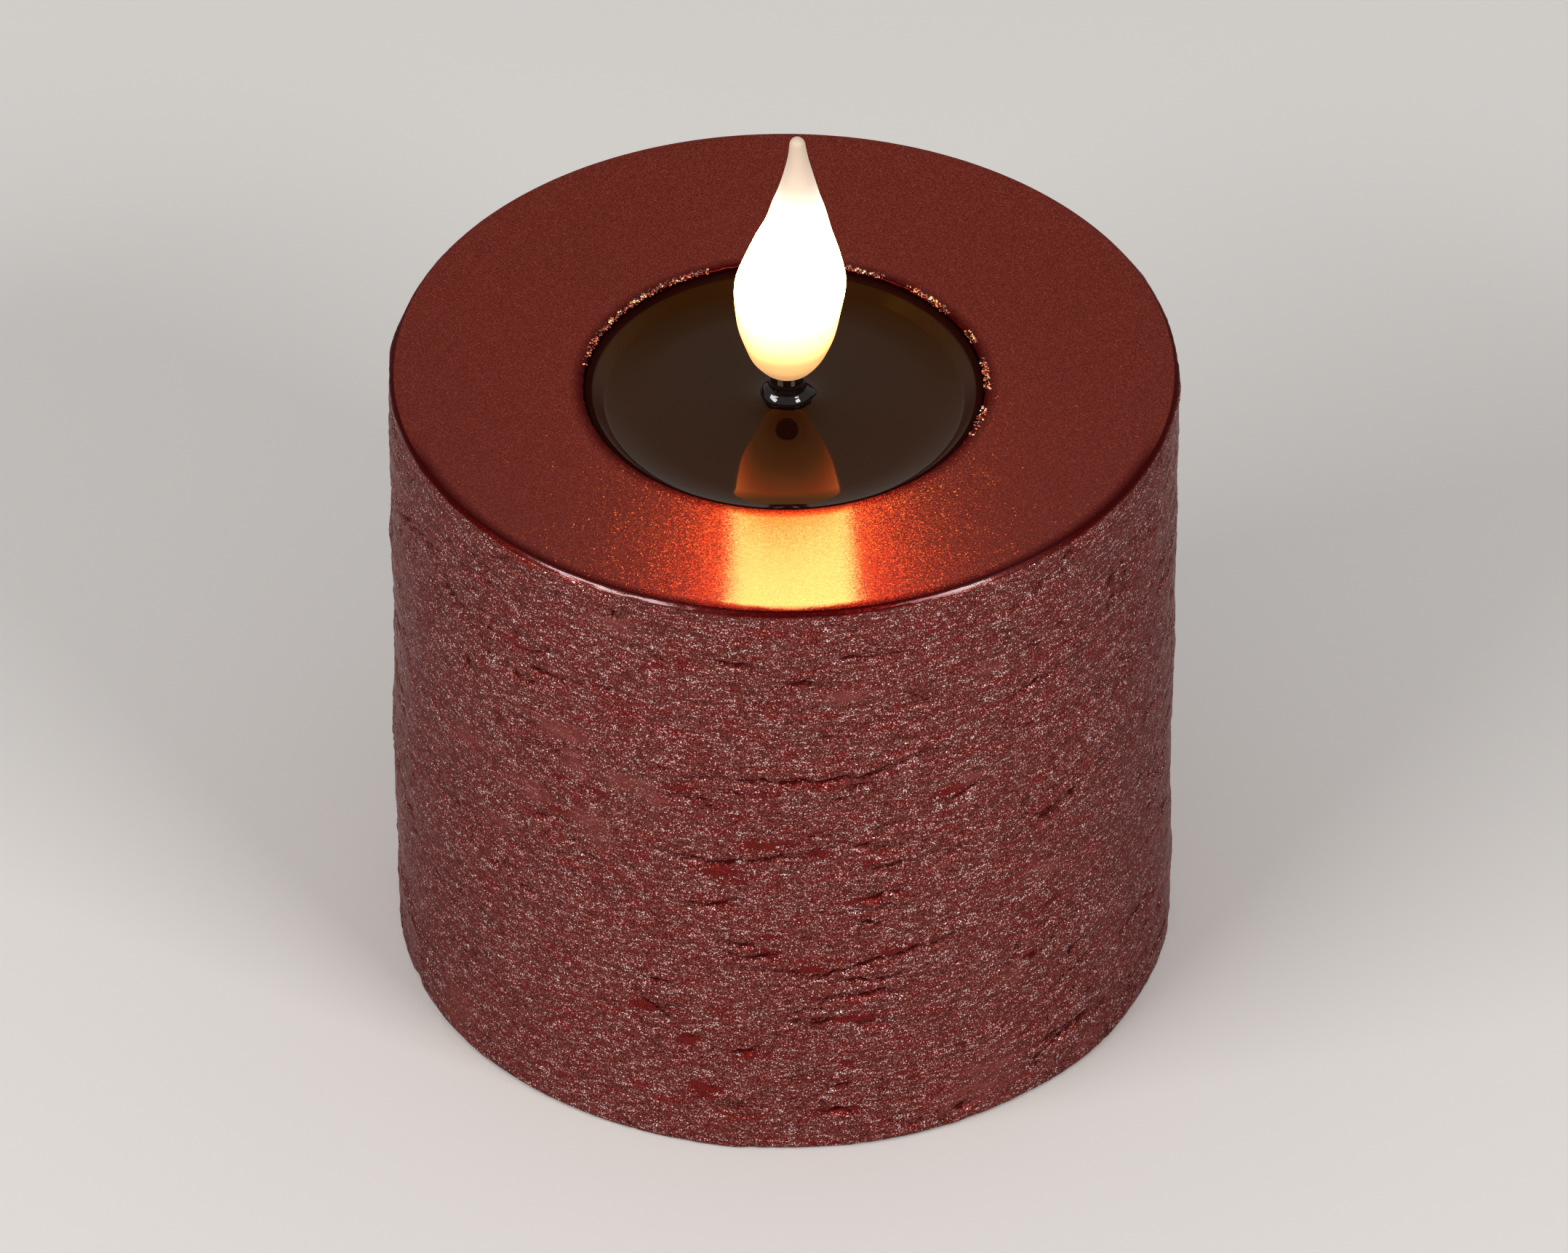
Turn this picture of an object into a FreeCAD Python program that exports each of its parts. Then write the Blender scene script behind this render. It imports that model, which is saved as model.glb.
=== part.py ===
import FreeCAD, Part
import math
import os

V = FreeCAD.Vector
UP = V(0, 0, 1)
ALONG_X = V(1, 0, 0)

# A battery candle, in millimetres. The origin is the centre of the base on the table, +Z is up
# and -Y is the front. The wax body stands on its own lower edge, and the battery housing sits in it.

# Clearances
fit_gap = 0.2          # between a moulding and the seat that holds it
running_gap = 0.05     # radial, between a pin and its hole
slide_gap = 0.15       # between a sliding piece and its guide
door_gap = 0.3         # round the battery door
cell_gap = 0.25        # between a cell and the bay
corner_gap = 0.45      # between a cell's shoulder and the round end wall of the bay
dish_gap = 0.08        # between the melt pool dish and the wax
overrun = 2.0          # how far a cutting shape runs past the face that it cuts

# Wax body: the cells set the width of the housing, and the wall of wax round it that of the candle
candle_h = 65.6
rim_round = 0.6
foot_round = 0.5
top_dip = 2.0          # the top is dished by this much between its rim and the melt pool
wax_wall = 3.6         # round the battery housing
chamber_low_d = 44.0   # the hollow above the housing, at its foot
chamber_high_d = 38.0
top_thick = 13.0       # from the rim down to the roof of the hollow

# Melt pool dish
pool_d = 38.2          # opening in the wax
pool_edge_round = 0.4
dish_lip_drop = 0.35   # lip below the edge of the wax
dish_lip_w = 0.5
pool_floor_drop = 4.37   # pool floor below the rim
pool_floor_d = 25.6      # the flat part of the floor
dish_thick = 2.1
mound_d = 12.0
mound_h = 1.3          # the melt climbs the stem by this much

# Flame, stem and bead
wick_x = 0.28          # the stem stands this far to the right of the centre
stem_d = 3.0
stem_bore_d = 2.2
stem_foot_d = 9.0
stem_foot_t = 1.2
stem_rise = 1.8        # top of the stem above the rim
bead_w = 5.2
bead_depth = 4.0
bead_h = 2.2
bead_sink = 0.3        # foot of the bead below the top of the mound
flame_foot_rise = 0.5
flame_h = 26.85
flame_d = 10.48
flame_lean = 1.05      # how far the flame leans to the right at most
flame_foot_round = 0.5
flame_tip_round = 0.36
flame_radius_shares = (0.525, 0.710, 0.865, 0.956, 0.994, 0.985, 0.897, 0.782, 0.632, 0.496, 0.368,
                       0.252, 0.147, 0.080)
flame_lean_shares = (0.03, 0, -0.03, 0.03, 0.14, 0.28, 0.45, 0.61, 0.76, 0.89, 0.98, 1.0, 0.97, 0.9)
bead_width_shares = (0.86, 0.98, 1.0, 0.90, 0.81, 0.70)

# LED
led_d = 3.0
led_flange_d = 3.8
led_flange_t = 1.0
led_h = 5.3
lead_w = 0.45
lead_pitch = 1.24
lead_tail = 3.5        # legs below the roof of the hollow

# Battery housing
base_recess = 0.8      # underside of the base plate above the table
base_t = 2.0
shell_wall = 1.4
bay_wall = 1.2
cap_t = 1.5
wire_space = 4.5       # between the roof of the bay and the cap
cap_hole_d = 7.0
boss_d = 5.2
boss_merge = 0.3       # a boss reaches this far into the wall of the cap
boss_turn = 46.4       # degrees from the X axis
screw_d = 2.2
screw_len = 8.0
screw_tip = 1.2
screw_head_d = 4.2
screw_head_t = 1.0
screw_play = 0.02      # radial, between a screw and the hole that it is driven into
cross_w = 0.6
cross_len = 2.2
cross_depth = 0.5

# Cells and contacts
cell_d = 14.5
cell_len = 50.5
nub_d = 5.5
nub_len = 1.3
cell_edge = 0.6
spring_space = 5.1
contact_t = 0.4
contact_w = 9.0
contact_h = 11.0
contact_inset = 3.0    # inner edge of a contact from the middle of the bay
tag_w = 3.0
tag_rise = 2.5         # a contact's tag above the roof of the bay
spring_d = 6.5
spring_wire_d = 0.5
spring_turns = 4
spring_end_gap = 0.05

# Battery door
door_end_gap = 0.7     # between each end of the door and the end wall of the bay
door_lap = 2.0         # how far the door reaches past the bay, under its rear wall
door_t = 1.8
door_corner = 3.0
pin_d = 1.1
pin_len = 1.5
grip_w = 12.0
grip_rib_w = 0.8
grip_rib_h = 0.3
grip_ribs = 4
grip_pitch = 1.8

# Door latch
latch_w = 9.0
latch_t = 0.9
latch_rise = 6.4       # top of the bend above the outside of the door
latch_span = 3.1       # over both legs
barb_reach = 0.6
barb_h = 1.0
tab_reach = 1.5
tab_t = 0.8
notch_play = 0.6
scoop_w = 13.0
scoop_len = 8.7
scoop_depth = 1.1

# Circuit board
board_w = 31.0
board_t = 1.2
board_back_gap = 0.6   # between the bay and the board
board_depth = 12.5
post_d = 4.4
post_x = 12.2
post_inset = 5.7       # insets on the board are from its rear edge
pad_inset = 2.2
board_screw_d = 1.6
board_screw_len = 4.5
board_screw_head_d = 3.2
board_screw_head_t = 0.9
chip_d = 4.8
chip_h = 1.1
chip_x = 6.4
chip_inset = 9.2
crystal_d = 2.0
crystal_len = 6.0
crystal_x = 4.5
crystal_inset = 10.8
capacitor_d = 4.0
capacitor_h = 5.0
capacitor_x = 7.0
capacitor_inset = 7.2
resistor_d = 1.8
resistor_len = 4.0
resistor_lead_d = 0.5
resistor_lead_reach = 1.0
resistor_x = 6.4
resistor_inset = 4.2

# Slide switch
switch_inset = 6.4
switch_len = 8.6
switch_w = 4.4
frame_h = 3.7
frame_t = 0.3
frame_lift = 0.3       # switch above the base plate
switch_base_t = 0.9
terminal_w = 0.5
terminal_pitch = 2.0
terminal_inside = 0.4
terminal_above = 0.8
terminal_count = 4
knob_len = 2.4
knob_w = 1.8
knob_proud = 0.5       # end of the knob below the base plate
carriage_len = 3.6
carriage_w = 3.4
carriage_h = 2.5
knob_travel = 4.0
switch_recess_len = 11.0
switch_recess_w = 6.0
switch_recess_depth = 0.9
slot_play = 0.5
knob_ribs = 3
knob_rib_w = 0.3
knob_rib_depth = 0.25

# Insulated wires: points of their routes, chosen by hand
wire_d = 0.9
route_share = 0.45     # of the shorter run that an arc takes up
tag_wire_drop = 0.7    # wire below the top of a contact's tag
flame_wire_top = ((0, 0), (0, 0), (0.4, 0.5))
flame_wire_rise_shares = (1, 0.62, 0.27)   # of the height from the cap to the legs
flame_wire_route = ((0.45, -0.5, 25.0), (0.9, -4.5, 21.4), (1.3, -11.5, 21.2), (1.8, -19.0, 21.6),
                    (1.9, -19.0, 14.8))
positive_wire_route = ((-23.5, 7.5, 21.3), (-18.5, 4.0, 21.8), (-12.5, -3.0, 21.6),
                       (-8.0, -10.5, 21.5), (-6.5, -19.0, 21.7), (-6.4, -19.0, 14.8))
negative_wire_route = ((-23.5, -7.5, 21.3), (-17.5, -10.0, 21.7),
                       (-12.0, -13.5, 21.6), (-10.1, -19.0, 21.6), (-10.0, -19.0, 14.8))

# Levels and places that follow from the sizes
cell_r = cell_d / 2
cell_y = cell_r + cell_gap
bay_half_w = 2 * cell_y
contact_face_x = (cell_len + spring_space) / 2
bay_half_len = contact_face_x + contact_t
bay_inner_r = math.hypot(contact_face_x - nub_len, bay_half_w) + corner_gap
cap_inner_r = bay_inner_r + bay_wall + fit_gap
shell_r = cap_inner_r + shell_wall
cavity_r = shell_r + fit_gap
candle_r = cavity_r + wax_wall
pool_r = pool_d / 2
pool_edge_z = candle_h - top_dip
pool_floor_z = candle_h - pool_floor_drop
dish_bottom_z = pool_floor_z - dish_thick
dish_r = pool_r - dish_gap
dish_lip_z = pool_edge_z - dish_lip_drop
chamber_top_z = candle_h - top_thick
legs_end_z = chamber_top_z - lead_tail
stem_foot_z = dish_bottom_z - stem_foot_t
stem_top_z = candle_h + stem_rise
mound_top_z = pool_floor_z + mound_h
flame_foot_z = candle_h + flame_foot_rise
base_top_z = base_recess + base_t
door_top_z = base_recess + door_t
hinge_z = base_recess + door_t / 2
cell_z = base_top_z + 2 * cell_gap + cell_r
bay_roof_z = cell_z + cell_r + 2 * cell_gap
bay_top_z = bay_roof_z + bay_wall
cap_roof_z = bay_top_z + wire_space
cap_top_z = cap_roof_z + cap_t
ledge_z = cap_top_z + fit_gap / 2
boss_reach = cap_inner_r + boss_merge - boss_d / 2
boss_x = boss_reach * math.cos(math.radians(boss_turn))
boss_y = boss_reach * math.sin(math.radians(boss_turn))
tag_top_z = bay_top_z + tag_rise
door_half_len = bay_half_len - door_end_gap
hinge_y = -(bay_half_w + door_gap - door_t / 2)
door_edge_y = bay_half_w + door_lap
latch_outer_y = door_edge_y + latch_span
notch_edge_y = latch_outer_y + door_gap
knob_rest_x = -knob_travel / 2
frame_bottom_z = base_top_z + frame_lift
switch_base_z = frame_bottom_z + frame_h
board_z = switch_base_z + switch_base_t
board_top_z = board_z + board_t
board_back_y = -(bay_half_w + bay_wall + board_back_gap)
post_y = board_back_y - post_inset
pad_y = board_back_y - pad_inset
chip_y = board_back_y - chip_inset
crystal_y = board_back_y - crystal_inset
capacitor_y = board_back_y - capacitor_inset
resistor_y = board_back_y - resistor_inset
switch_y = board_back_y - switch_inset


def cylinder(r, z0, z1, x=0, y=0):
    return Part.makeCylinder(r, z1 - z0, V(x, y, z0))


def rod(r, x0, x1, y, z):
    """A cylinder that lies along X."""
    return Part.makeCylinder(r, x1 - x0, V(x0, y, z), ALONG_X)


def block(x0, x1, y0, y1, z0, z1):
    return Part.makeBox(x1 - x0, y1 - y0, z1 - z0, V(x0, y0, z0))


def centred(length, width, z0, z1, x=0, y=0):
    return block(x - length / 2, x + length / 2, y - width / 2, y + width / 2, z0, z1)


def line(a, b):
    return Part.LineSegment(V(a[0], 0, a[1]), V(b[0], 0, b[1])).toShape()


def arc(a, m, b):
    return Part.Arc(V(a[0], 0, a[1]), V(m[0], 0, m[1]), V(b[0], 0, b[1])).toShape()


def chain(points):
    return [line(a, b) for a, b in zip(points, points[1:])]


def turned(edges, x=0):
    """The solid that a closed outline of (radius, height) sweeps round the upright axis."""
    solid = Part.Face(Part.Wire(edges)).revolve(V(0, 0, 0), UP, 360)
    solid.translate(V(x, 0, 0))
    return solid


def floor_arc(start, end):
    """A round stretch that starts level at one point of an outline and climbs to another."""
    run = abs(end[0] - start[0])
    rise = end[1] - start[1]
    r = (run * run + rise * rise) / (2 * rise)
    half_turn = math.asin(run / r) / 2
    side = math.copysign(r, end[0] - start[0])
    middle = (start[0] + side * math.sin(half_turn), start[1] + r * (1 - math.cos(half_turn)))
    return arc(start, middle, end)


def corner_arc(centre, r, start):
    """A quarter round of an outline about a centre, from a starting angle in degrees."""
    places = [math.radians(start + turn) for turn in (0, 45, 90)]
    return arc(*[(centre[0] + r * math.cos(a), centre[1] + r * math.sin(a)) for a in places])


def edges_at(shape, test):
    return [edge for edge in shape.Edges if test(edge)]


def rear_corners(shape):
    return edges_at(shape, lambda e: e.BoundBox.ZLength > e.Length / 2 and e.BoundBox.YMin > 0)


def through(path, r):
    """A round wire along a path of arcs and straight runs."""
    start = path.OrderedEdges[0]
    first = start.FirstParameter
    ring = Part.Circle(start.valueAt(first), start.tangentAt(first), r).toShape()
    shell = Part.BRepOffsetAPI.MakePipeShell(path)
    shell.add(Part.Wire(ring))
    shell.build()
    shell.makeSolid()
    return shell.shape()


def arc_from(a, direction, b):
    """The arc that leaves one point in a direction and ends at another."""
    chord = b - a
    way = V(chord).normalize()
    aside = direction - way * direction.dot(way)
    half = math.acos(max(-1, min(1, V(direction).normalize().dot(way)))) / 2
    middle = (a + b) * 0.5 + aside.normalize() * (chord.Length / 2 * math.tan(half))
    return Part.Arc(a, middle, b).toShape()


def biarc(a, a_way, b, b_way):
    """Two arcs that join two points and keep the direction at each."""
    span = b - a
    both = a_way + b_way
    square = 2 * (a_way.dot(b_way) - 1)
    slope = span.dot(both)
    reach = (slope - math.sqrt(slope * slope - square * span.dot(span))) / square
    middle = (a + a_way * reach + b - b_way * reach) * 0.5
    back = arc_from(b, b_way * -1, middle)
    return [arc_from(a, a_way, middle), Part.Arc(middle, back.valueAt(
        (back.FirstParameter + back.LastParameter) / 2), b).toShape()]


def coil(x0, x1, y, z, r, wire_r, turns):
    """A contact spring along X: one tube that winds at a steady rate, in quarter turns."""
    rate = (x1 - x0) / (2 * math.pi * turns)

    def place(angle):
        return V(x0 + rate * angle, y + r * math.cos(angle), z + r * math.sin(angle))

    def way(angle):
        return V(rate, -r * math.sin(angle), r * math.cos(angle)).normalize()

    quarter = math.pi / 2
    edges = []
    for step in range(4 * turns):
        a = quarter * step
        edges += biarc(place(a), way(a), place(a + quarter), way(a + quarter))
    pitch = abs(x1 - x0) / turns
    samples = [(place(k * quarter / 6), place(k * quarter / 6 + s * quarter / 6))
               for k in range(12) for s in range(12, 36)]
    least = min((b - a).Length for a, b in samples) - 2 * wire_r
    print("spring at y %.1f: pitch %.2f, least gap to itself %.2f" % (y, pitch, least))
    return through(Part.Wire(edges), wire_r)


def routed_wire(name, points, r):
    """A wire along straight runs that tangent arcs join, each as large as its runs allow."""
    edges = []
    radii = []
    at = points[0]
    for before, point, after in zip(points, points[1:], points[2:]):
        run_in = point - before
        run_out = after - point
        reach = route_share * min(run_in.Length, run_out.Length)
        turn = run_in.getAngle(run_out)
        radii.append(reach / math.tan(turn / 2))
        start = point - V(run_in).normalize() * reach
        end = point + V(run_out).normalize() * reach
        edges.append(Part.LineSegment(at, start).toShape())
        edges.append(arc_from(start, V(run_in).normalize(), end))
        at = end
    edges.append(Part.LineSegment(at, points[-1]).toShape())
    path = Part.Wire(edges)
    solid = through(path, r)
    full = math.pi * r * r * path.Length
    print("%s: length %.1f, volume %.2f of %.2f, radii %s" % (
        name, path.Length, solid.Volume, full, " ".join("%.1f" % radius for radius in radii)))
    return solid


def candle_wax():
    """The hollow wax body: dished top, pool for the melt, hollow for the wires, seat for the housing."""
    rim = (candle_r - rim_round, candle_h - rim_round)
    foot = (candle_r - foot_round, foot_round)
    slope = top_dip / (rim[0] - pool_r)
    lip = (pool_r + pool_edge_round, pool_edge_z + slope * pool_edge_round)
    outline = chain([(cavity_r, 0), (foot[0], 0)])
    outline.append(corner_arc(foot, foot_round, -90))
    outline += chain([(candle_r, foot_round), (candle_r, rim[1])])
    outline.append(corner_arc(rim, rim_round, 0))
    outline += chain([(rim[0], candle_h), lip])
    bend_share = math.cos(math.radians(45))
    soft = (pool_r + pool_edge_round * (1 - bend_share), lip[1] - pool_edge_round * (1 - bend_share))
    low = (pool_r, lip[1] - pool_edge_round)
    outline.append(arc(lip, soft, low))
    outline += chain([low, (pool_r, dish_bottom_z), (0, dish_bottom_z), (0, chamber_top_z),
                      (chamber_high_d / 2, chamber_top_z), (chamber_low_d / 2, ledge_z),
                      (cavity_r, ledge_z), (cavity_r, 0)])
    body = turned(outline)
    foot_seat = cylinder(stem_foot_d / 2 + fit_gap, stem_foot_z, dish_bottom_z, wick_x)
    bore = cylinder(stem_bore_d / 2 + fit_gap, chamber_top_z - overrun, dish_bottom_z, wick_x)
    return body.cut([foot_seat, bore])


def melt_pool_dish():
    """The glossy insert: a lip, a round climb to it, a flat floor and a mound round the stem."""
    hole_r = stem_d / 2 + running_gap
    lip_r = dish_r - dish_lip_w
    floor_start = (pool_floor_d / 2, pool_floor_z)
    outline = chain([floor_start, (0, pool_floor_z), (0, dish_bottom_z), (dish_r, dish_bottom_z),
                     (dish_r, dish_lip_z), (lip_r, dish_lip_z)])
    outline.append(floor_arc(floor_start, (lip_r, dish_lip_z)))
    dish = turned(Part.__sortEdges__(outline))
    mound_foot = (mound_d / 2, pool_floor_z)
    outline = chain([(hole_r, mound_top_z), (0, mound_top_z), (0, dish_bottom_z),
                     (mound_foot[0], dish_bottom_z), mound_foot])
    outline.append(floor_arc(mound_foot, (hole_r, mound_top_z)))
    mound = turned(Part.__sortEdges__(outline), wick_x)
    hole = cylinder(hole_r, dish_bottom_z - overrun, candle_h, wick_x)
    return dish.fuse(mound).cut(hole).removeSplitter()


def wick_stem():
    tube = cylinder(stem_d / 2, stem_foot_z, stem_top_z, wick_x)
    foot = cylinder(stem_foot_d / 2, stem_foot_z, dish_bottom_z, wick_x)
    return tube.fuse(foot).cut(cylinder(stem_bore_d / 2, stem_foot_z, stem_top_z, wick_x)).removeSplitter()


def wick_bead(dish):
    """A squat bead, wider than it is deep, whose foot follows the mound of the dish."""
    low = mound_top_z - bead_sink
    sections = []
    for step, share in enumerate(bead_width_shares):
        z = low + bead_h * step / (len(bead_width_shares) - 1)
        oval = Part.Ellipse(V(wick_x, 0, z), bead_w / 2 * share, bead_depth / 2 * share)
        sections.append(Part.Wire(oval.toShape()))
    bead = Part.makeLoft(sections, True)
    return bead.cut([cylinder(stem_d / 2 + running_gap, low - overrun, candle_h, wick_x), dish])


def flame_sleeve():
    """The moulded flame: round sections on a leaning centre line, hollow round the LED."""
    sections = []
    last = len(flame_radius_shares) - 1
    for step, (radius_share, lean_share) in enumerate(zip(flame_radius_shares, flame_lean_shares)):
        centre = V(wick_x + flame_lean * lean_share, 0, flame_foot_z + flame_h * step / last)
        sections.append(Part.Wire(Part.makeCircle(flame_d / 2 * radius_share, centre)))
    solid = Part.makeLoft(sections, True)
    foot = edges_at(solid, lambda e: e.Closed and e.BoundBox.ZMax < flame_foot_z + flame_foot_round)
    solid = solid.makeFillet(flame_foot_round, foot)
    tip = edges_at(solid, lambda e: e.Closed and e.BoundBox.ZMin > flame_foot_z + flame_h - flame_tip_round)
    solid = solid.makeFillet(flame_tip_round, tip)
    stem_hole = cylinder(stem_d / 2 + running_gap, flame_foot_z - overrun, stem_top_z, wick_x)
    led_room = cylinder(led_flange_d / 2 + slide_gap, stem_top_z, stem_top_z + led_h + fit_gap, wick_x)
    return solid.cut([stem_hole, led_room])


def flame_led():
    flange = cylinder(led_flange_d / 2, stem_top_z, stem_top_z + led_flange_t, wick_x)
    dome_z = stem_top_z + led_h - led_d / 2
    barrel = cylinder(led_d / 2, stem_top_z, dome_z, wick_x)
    dome = Part.makeSphere(led_d / 2, V(wick_x, 0, dome_z))
    return flange.fuse([barrel, dome]).removeSplitter()


def led_leads():
    return [centred(lead_w, lead_w, legs_end_z, stem_top_z, wick_x + side * lead_pitch / 2)
            for side in (-1, 1)]


def to_the_board(points):
    """The route with its last bend and its last run straight above its pad."""
    points[-2].y = pad_y
    points[-1].y = pad_y
    return points + [V(points[-1].x, pad_y, board_top_z)]


def flame_wire(side, name):
    """A wire from one leg of the LED, through the cap, over the bay and down to the board."""
    top_x = wick_x + side * lead_pitch / 2
    climb = legs_end_z - cap_top_z
    points = [V(top_x + side * x, y, cap_top_z + climb * share)
              for (x, y), share in zip(flame_wire_top, flame_wire_rise_shares)]
    points += [V(top_x + side * x, y, z) for x, y, z in flame_wire_route]
    return routed_wire(name, to_the_board(points), wire_d / 2)


def battery_wire(route, side, name):
    """A wire from a contact's tag, over the bay and down to the board."""
    tag_face = V(-contact_face_x, side * cell_y, tag_top_z - tag_wire_drop)
    first = V(route[0][0], tag_face.y, tag_face.z)
    points = [tag_face, first] + [V(*place) for place in route[1:]]
    return routed_wire(name, to_the_board(points), wire_d / 2)


def boss_places():
    return [(x, y) for x in (-boss_x, boss_x) for y in (-boss_y, boss_y)]


def drum_cap():
    """The upper shell: a round wall, a roof with a hole for the wires and four screw bosses."""
    cap = cylinder(shell_r, base_top_z, cap_top_z).cut(cylinder(cap_inner_r, base_top_z, cap_roof_z))
    cap = cap.fuse([cylinder(boss_d / 2, base_top_z, cap_roof_z, x, y) for x, y in boss_places()])
    bore_r = screw_d / 2 + screw_play
    holes = [cylinder(bore_r, base_top_z, base_top_z + screw_len, x, y) for x, y in boss_places()]
    holes.append(cylinder(cap_hole_d / 2, cap_roof_z - overrun, cap_top_z + overrun))
    return cap.cut(holes).common(cylinder(shell_r, base_top_z, cap_top_z)).removeSplitter()


def bay_space(grow, z0, z1):
    """The room for the two cells, grown by a wall's thickness on request."""
    room = centred(2 * (bay_half_len + grow), 2 * (bay_half_w + grow), z0, z1)
    return room.common(cylinder(bay_inner_r + grow, z0, z1))


def door_outline(gap, z0, z1):
    """The door's opening: square corners at the hinge, round ones at the latch."""
    panel = block(-door_half_len - gap, door_half_len + gap, hinge_y - door_t / 2 - gap, door_edge_y + gap,
                  z0, z1)
    return panel.makeFillet(door_corner + gap, rear_corners(panel))


def base_plate():
    """The lower shell: a round plate with the battery bay, the posts and every opening in it."""
    plate = cylinder(shell_r, base_recess, base_top_z)
    posts = [cylinder(post_d / 2, base_recess, board_z, x, post_y) for x in (-post_x, post_x)]
    plate = plate.fuse([bay_space(bay_wall, base_recess, bay_top_z)] + posts)
    low = base_recess - overrun
    high = base_top_z + overrun
    pin_hole_end = door_half_len + pin_len + fit_gap
    cuts = [
        bay_space(0, base_top_z, bay_roof_z),
        door_outline(door_gap, low, base_top_z),
        rod(pin_d / 2 + running_gap, -pin_hole_end, pin_hole_end, hinge_y, hinge_z),
        centred(latch_w + 2 * notch_play, notch_edge_y - door_edge_y, low, high,
                0, (notch_edge_y + door_edge_y) / 2),
        block(-scoop_w / 2, scoop_w / 2, door_edge_y, door_edge_y + scoop_len, low,
              base_recess + scoop_depth),
        centred(knob_travel + knob_len + 2 * slot_play, knob_w + 2 * slot_play, low, high, 0, switch_y),
        centred(switch_recess_len, switch_recess_w, low, base_recess + switch_recess_depth, 0, switch_y),
    ]
    for x, y in boss_places():
        cuts.append(cylinder(screw_d / 2 + slide_gap, low, base_top_z, x, y))
        cuts.append(cylinder(screw_head_d / 2 + fit_gap, low, base_recess + screw_head_t, x, y))
    for x in (-post_x, post_x):
        cuts.append(cylinder(board_screw_d / 2 + screw_play, board_z - board_screw_len, board_z, x, post_y))
    for y in (-cell_y, cell_y):
        cuts.append(centred(contact_t + 2 * slide_gap, tag_w + 2 * slide_gap, bay_roof_z - overrun,
                            bay_top_z + overrun, -bay_half_len + contact_t / 2, y))
    return plate.cut(cuts).removeSplitter()


def cross_screw(d, length, tip, head_d, head_t, x, y, z, down):
    """A self-tapping screw: its head's flat side is at z, and its shank runs up, or down on request."""
    shank = cylinder(d / 2, 0, length - tip)
    point = Part.makeCone(d / 2, d / 8, tip, V(0, 0, length - tip))
    head = cylinder(head_d / 2, -head_t, 0)
    rim = edges_at(head, lambda e: e.Closed and e.BoundBox.ZMax < -head_t / 2)
    head = head.makeFillet(head_t / 2, rim)
    slot_share = cross_len / screw_head_d
    width_share = cross_w / screw_head_d
    depth_share = cross_depth / screw_head_t
    arms = [centred(head_d * a, head_d * b, -head_t, -head_t * (1 - depth_share))
            for a, b in ((slot_share, width_share), (width_share, slot_share))]
    screw = head.fuse([shank, point]).removeSplitter().cut(arms)
    if down:
        screw.rotate(V(0, 0, 0), ALONG_X, 180)
    screw.translate(V(x, y, z))
    return screw


def housing_screws():
    return [cross_screw(screw_d, screw_len, screw_tip, screw_head_d, screw_head_t, x, y,
                        base_recess + screw_head_t, False) for x, y in boss_places()]


def battery_cell(side):
    """An AA cell along X: a can with softened ends and a nub at the positive end."""
    nub_end = side * contact_face_x
    can_len = cell_len - nub_len
    can = cylinder(cell_r, 0, can_len)
    can = can.makeFillet(cell_edge, edges_at(can, lambda e: e.Closed))
    cell = can.fuse(cylinder(nub_d / 2, can_len, cell_len)).removeSplitter()
    cell.rotate(V(0, 0, 0), V(0, 1, 0), 90)
    if side < 0:
        cell.rotate(V(0, 0, 0), UP, 180)
    cell.translate(V(nub_end - side * cell_len, -side * cell_y, cell_z))
    return cell


def contact_plate(y0, y1, tag_y):
    plate = block(-bay_half_len, -contact_face_x, y0, y1, cell_z - contact_h / 2, cell_z + contact_h / 2)
    tag = block(-bay_half_len, -contact_face_x, tag_y - tag_w / 2, tag_y + tag_w / 2,
                cell_z, tag_top_z)
    return plate.fuse(tag).removeSplitter()


def contact_bridge():
    reach = contact_inset + contact_w
    return block(contact_face_x, bay_half_len, -reach, reach, cell_z - contact_h / 2, cell_z + contact_h / 2)


def contact_spring(side):
    """The spring at the flat end of a cell."""
    rest = spring_wire_d / 2 + spring_end_gap
    wall_x = -side * (contact_face_x - rest)
    cell_x = -side * (contact_face_x - spring_space + rest)
    return coil(wall_x, cell_x, -side * cell_y, cell_z, (spring_d - spring_wire_d) / 2, spring_wire_d / 2,
                spring_turns)


def battery_door():
    """The door: a panel whose hinge edge is round about its pins, with grip ribs by the latch."""
    panel = block(-door_half_len, door_half_len, hinge_y, door_edge_y, base_recess, door_top_z)
    panel = panel.makeFillet(door_corner, rear_corners(panel))
    edge = rod(door_t / 2, -door_half_len, door_half_len, hinge_y, hinge_z)
    pins = rod(pin_d / 2, -door_half_len - pin_len, door_half_len + pin_len, hinge_y, hinge_z)
    door = panel.fuse([edge, pins]).removeSplitter()
    grooves = []
    for step in range(grip_ribs):
        y = door_edge_y - grip_pitch * (step + 1)
        grooves.append(centred(grip_w, grip_rib_w, base_recess, base_recess + grip_rib_h, 0, y))
    return door.cut(grooves)


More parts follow.
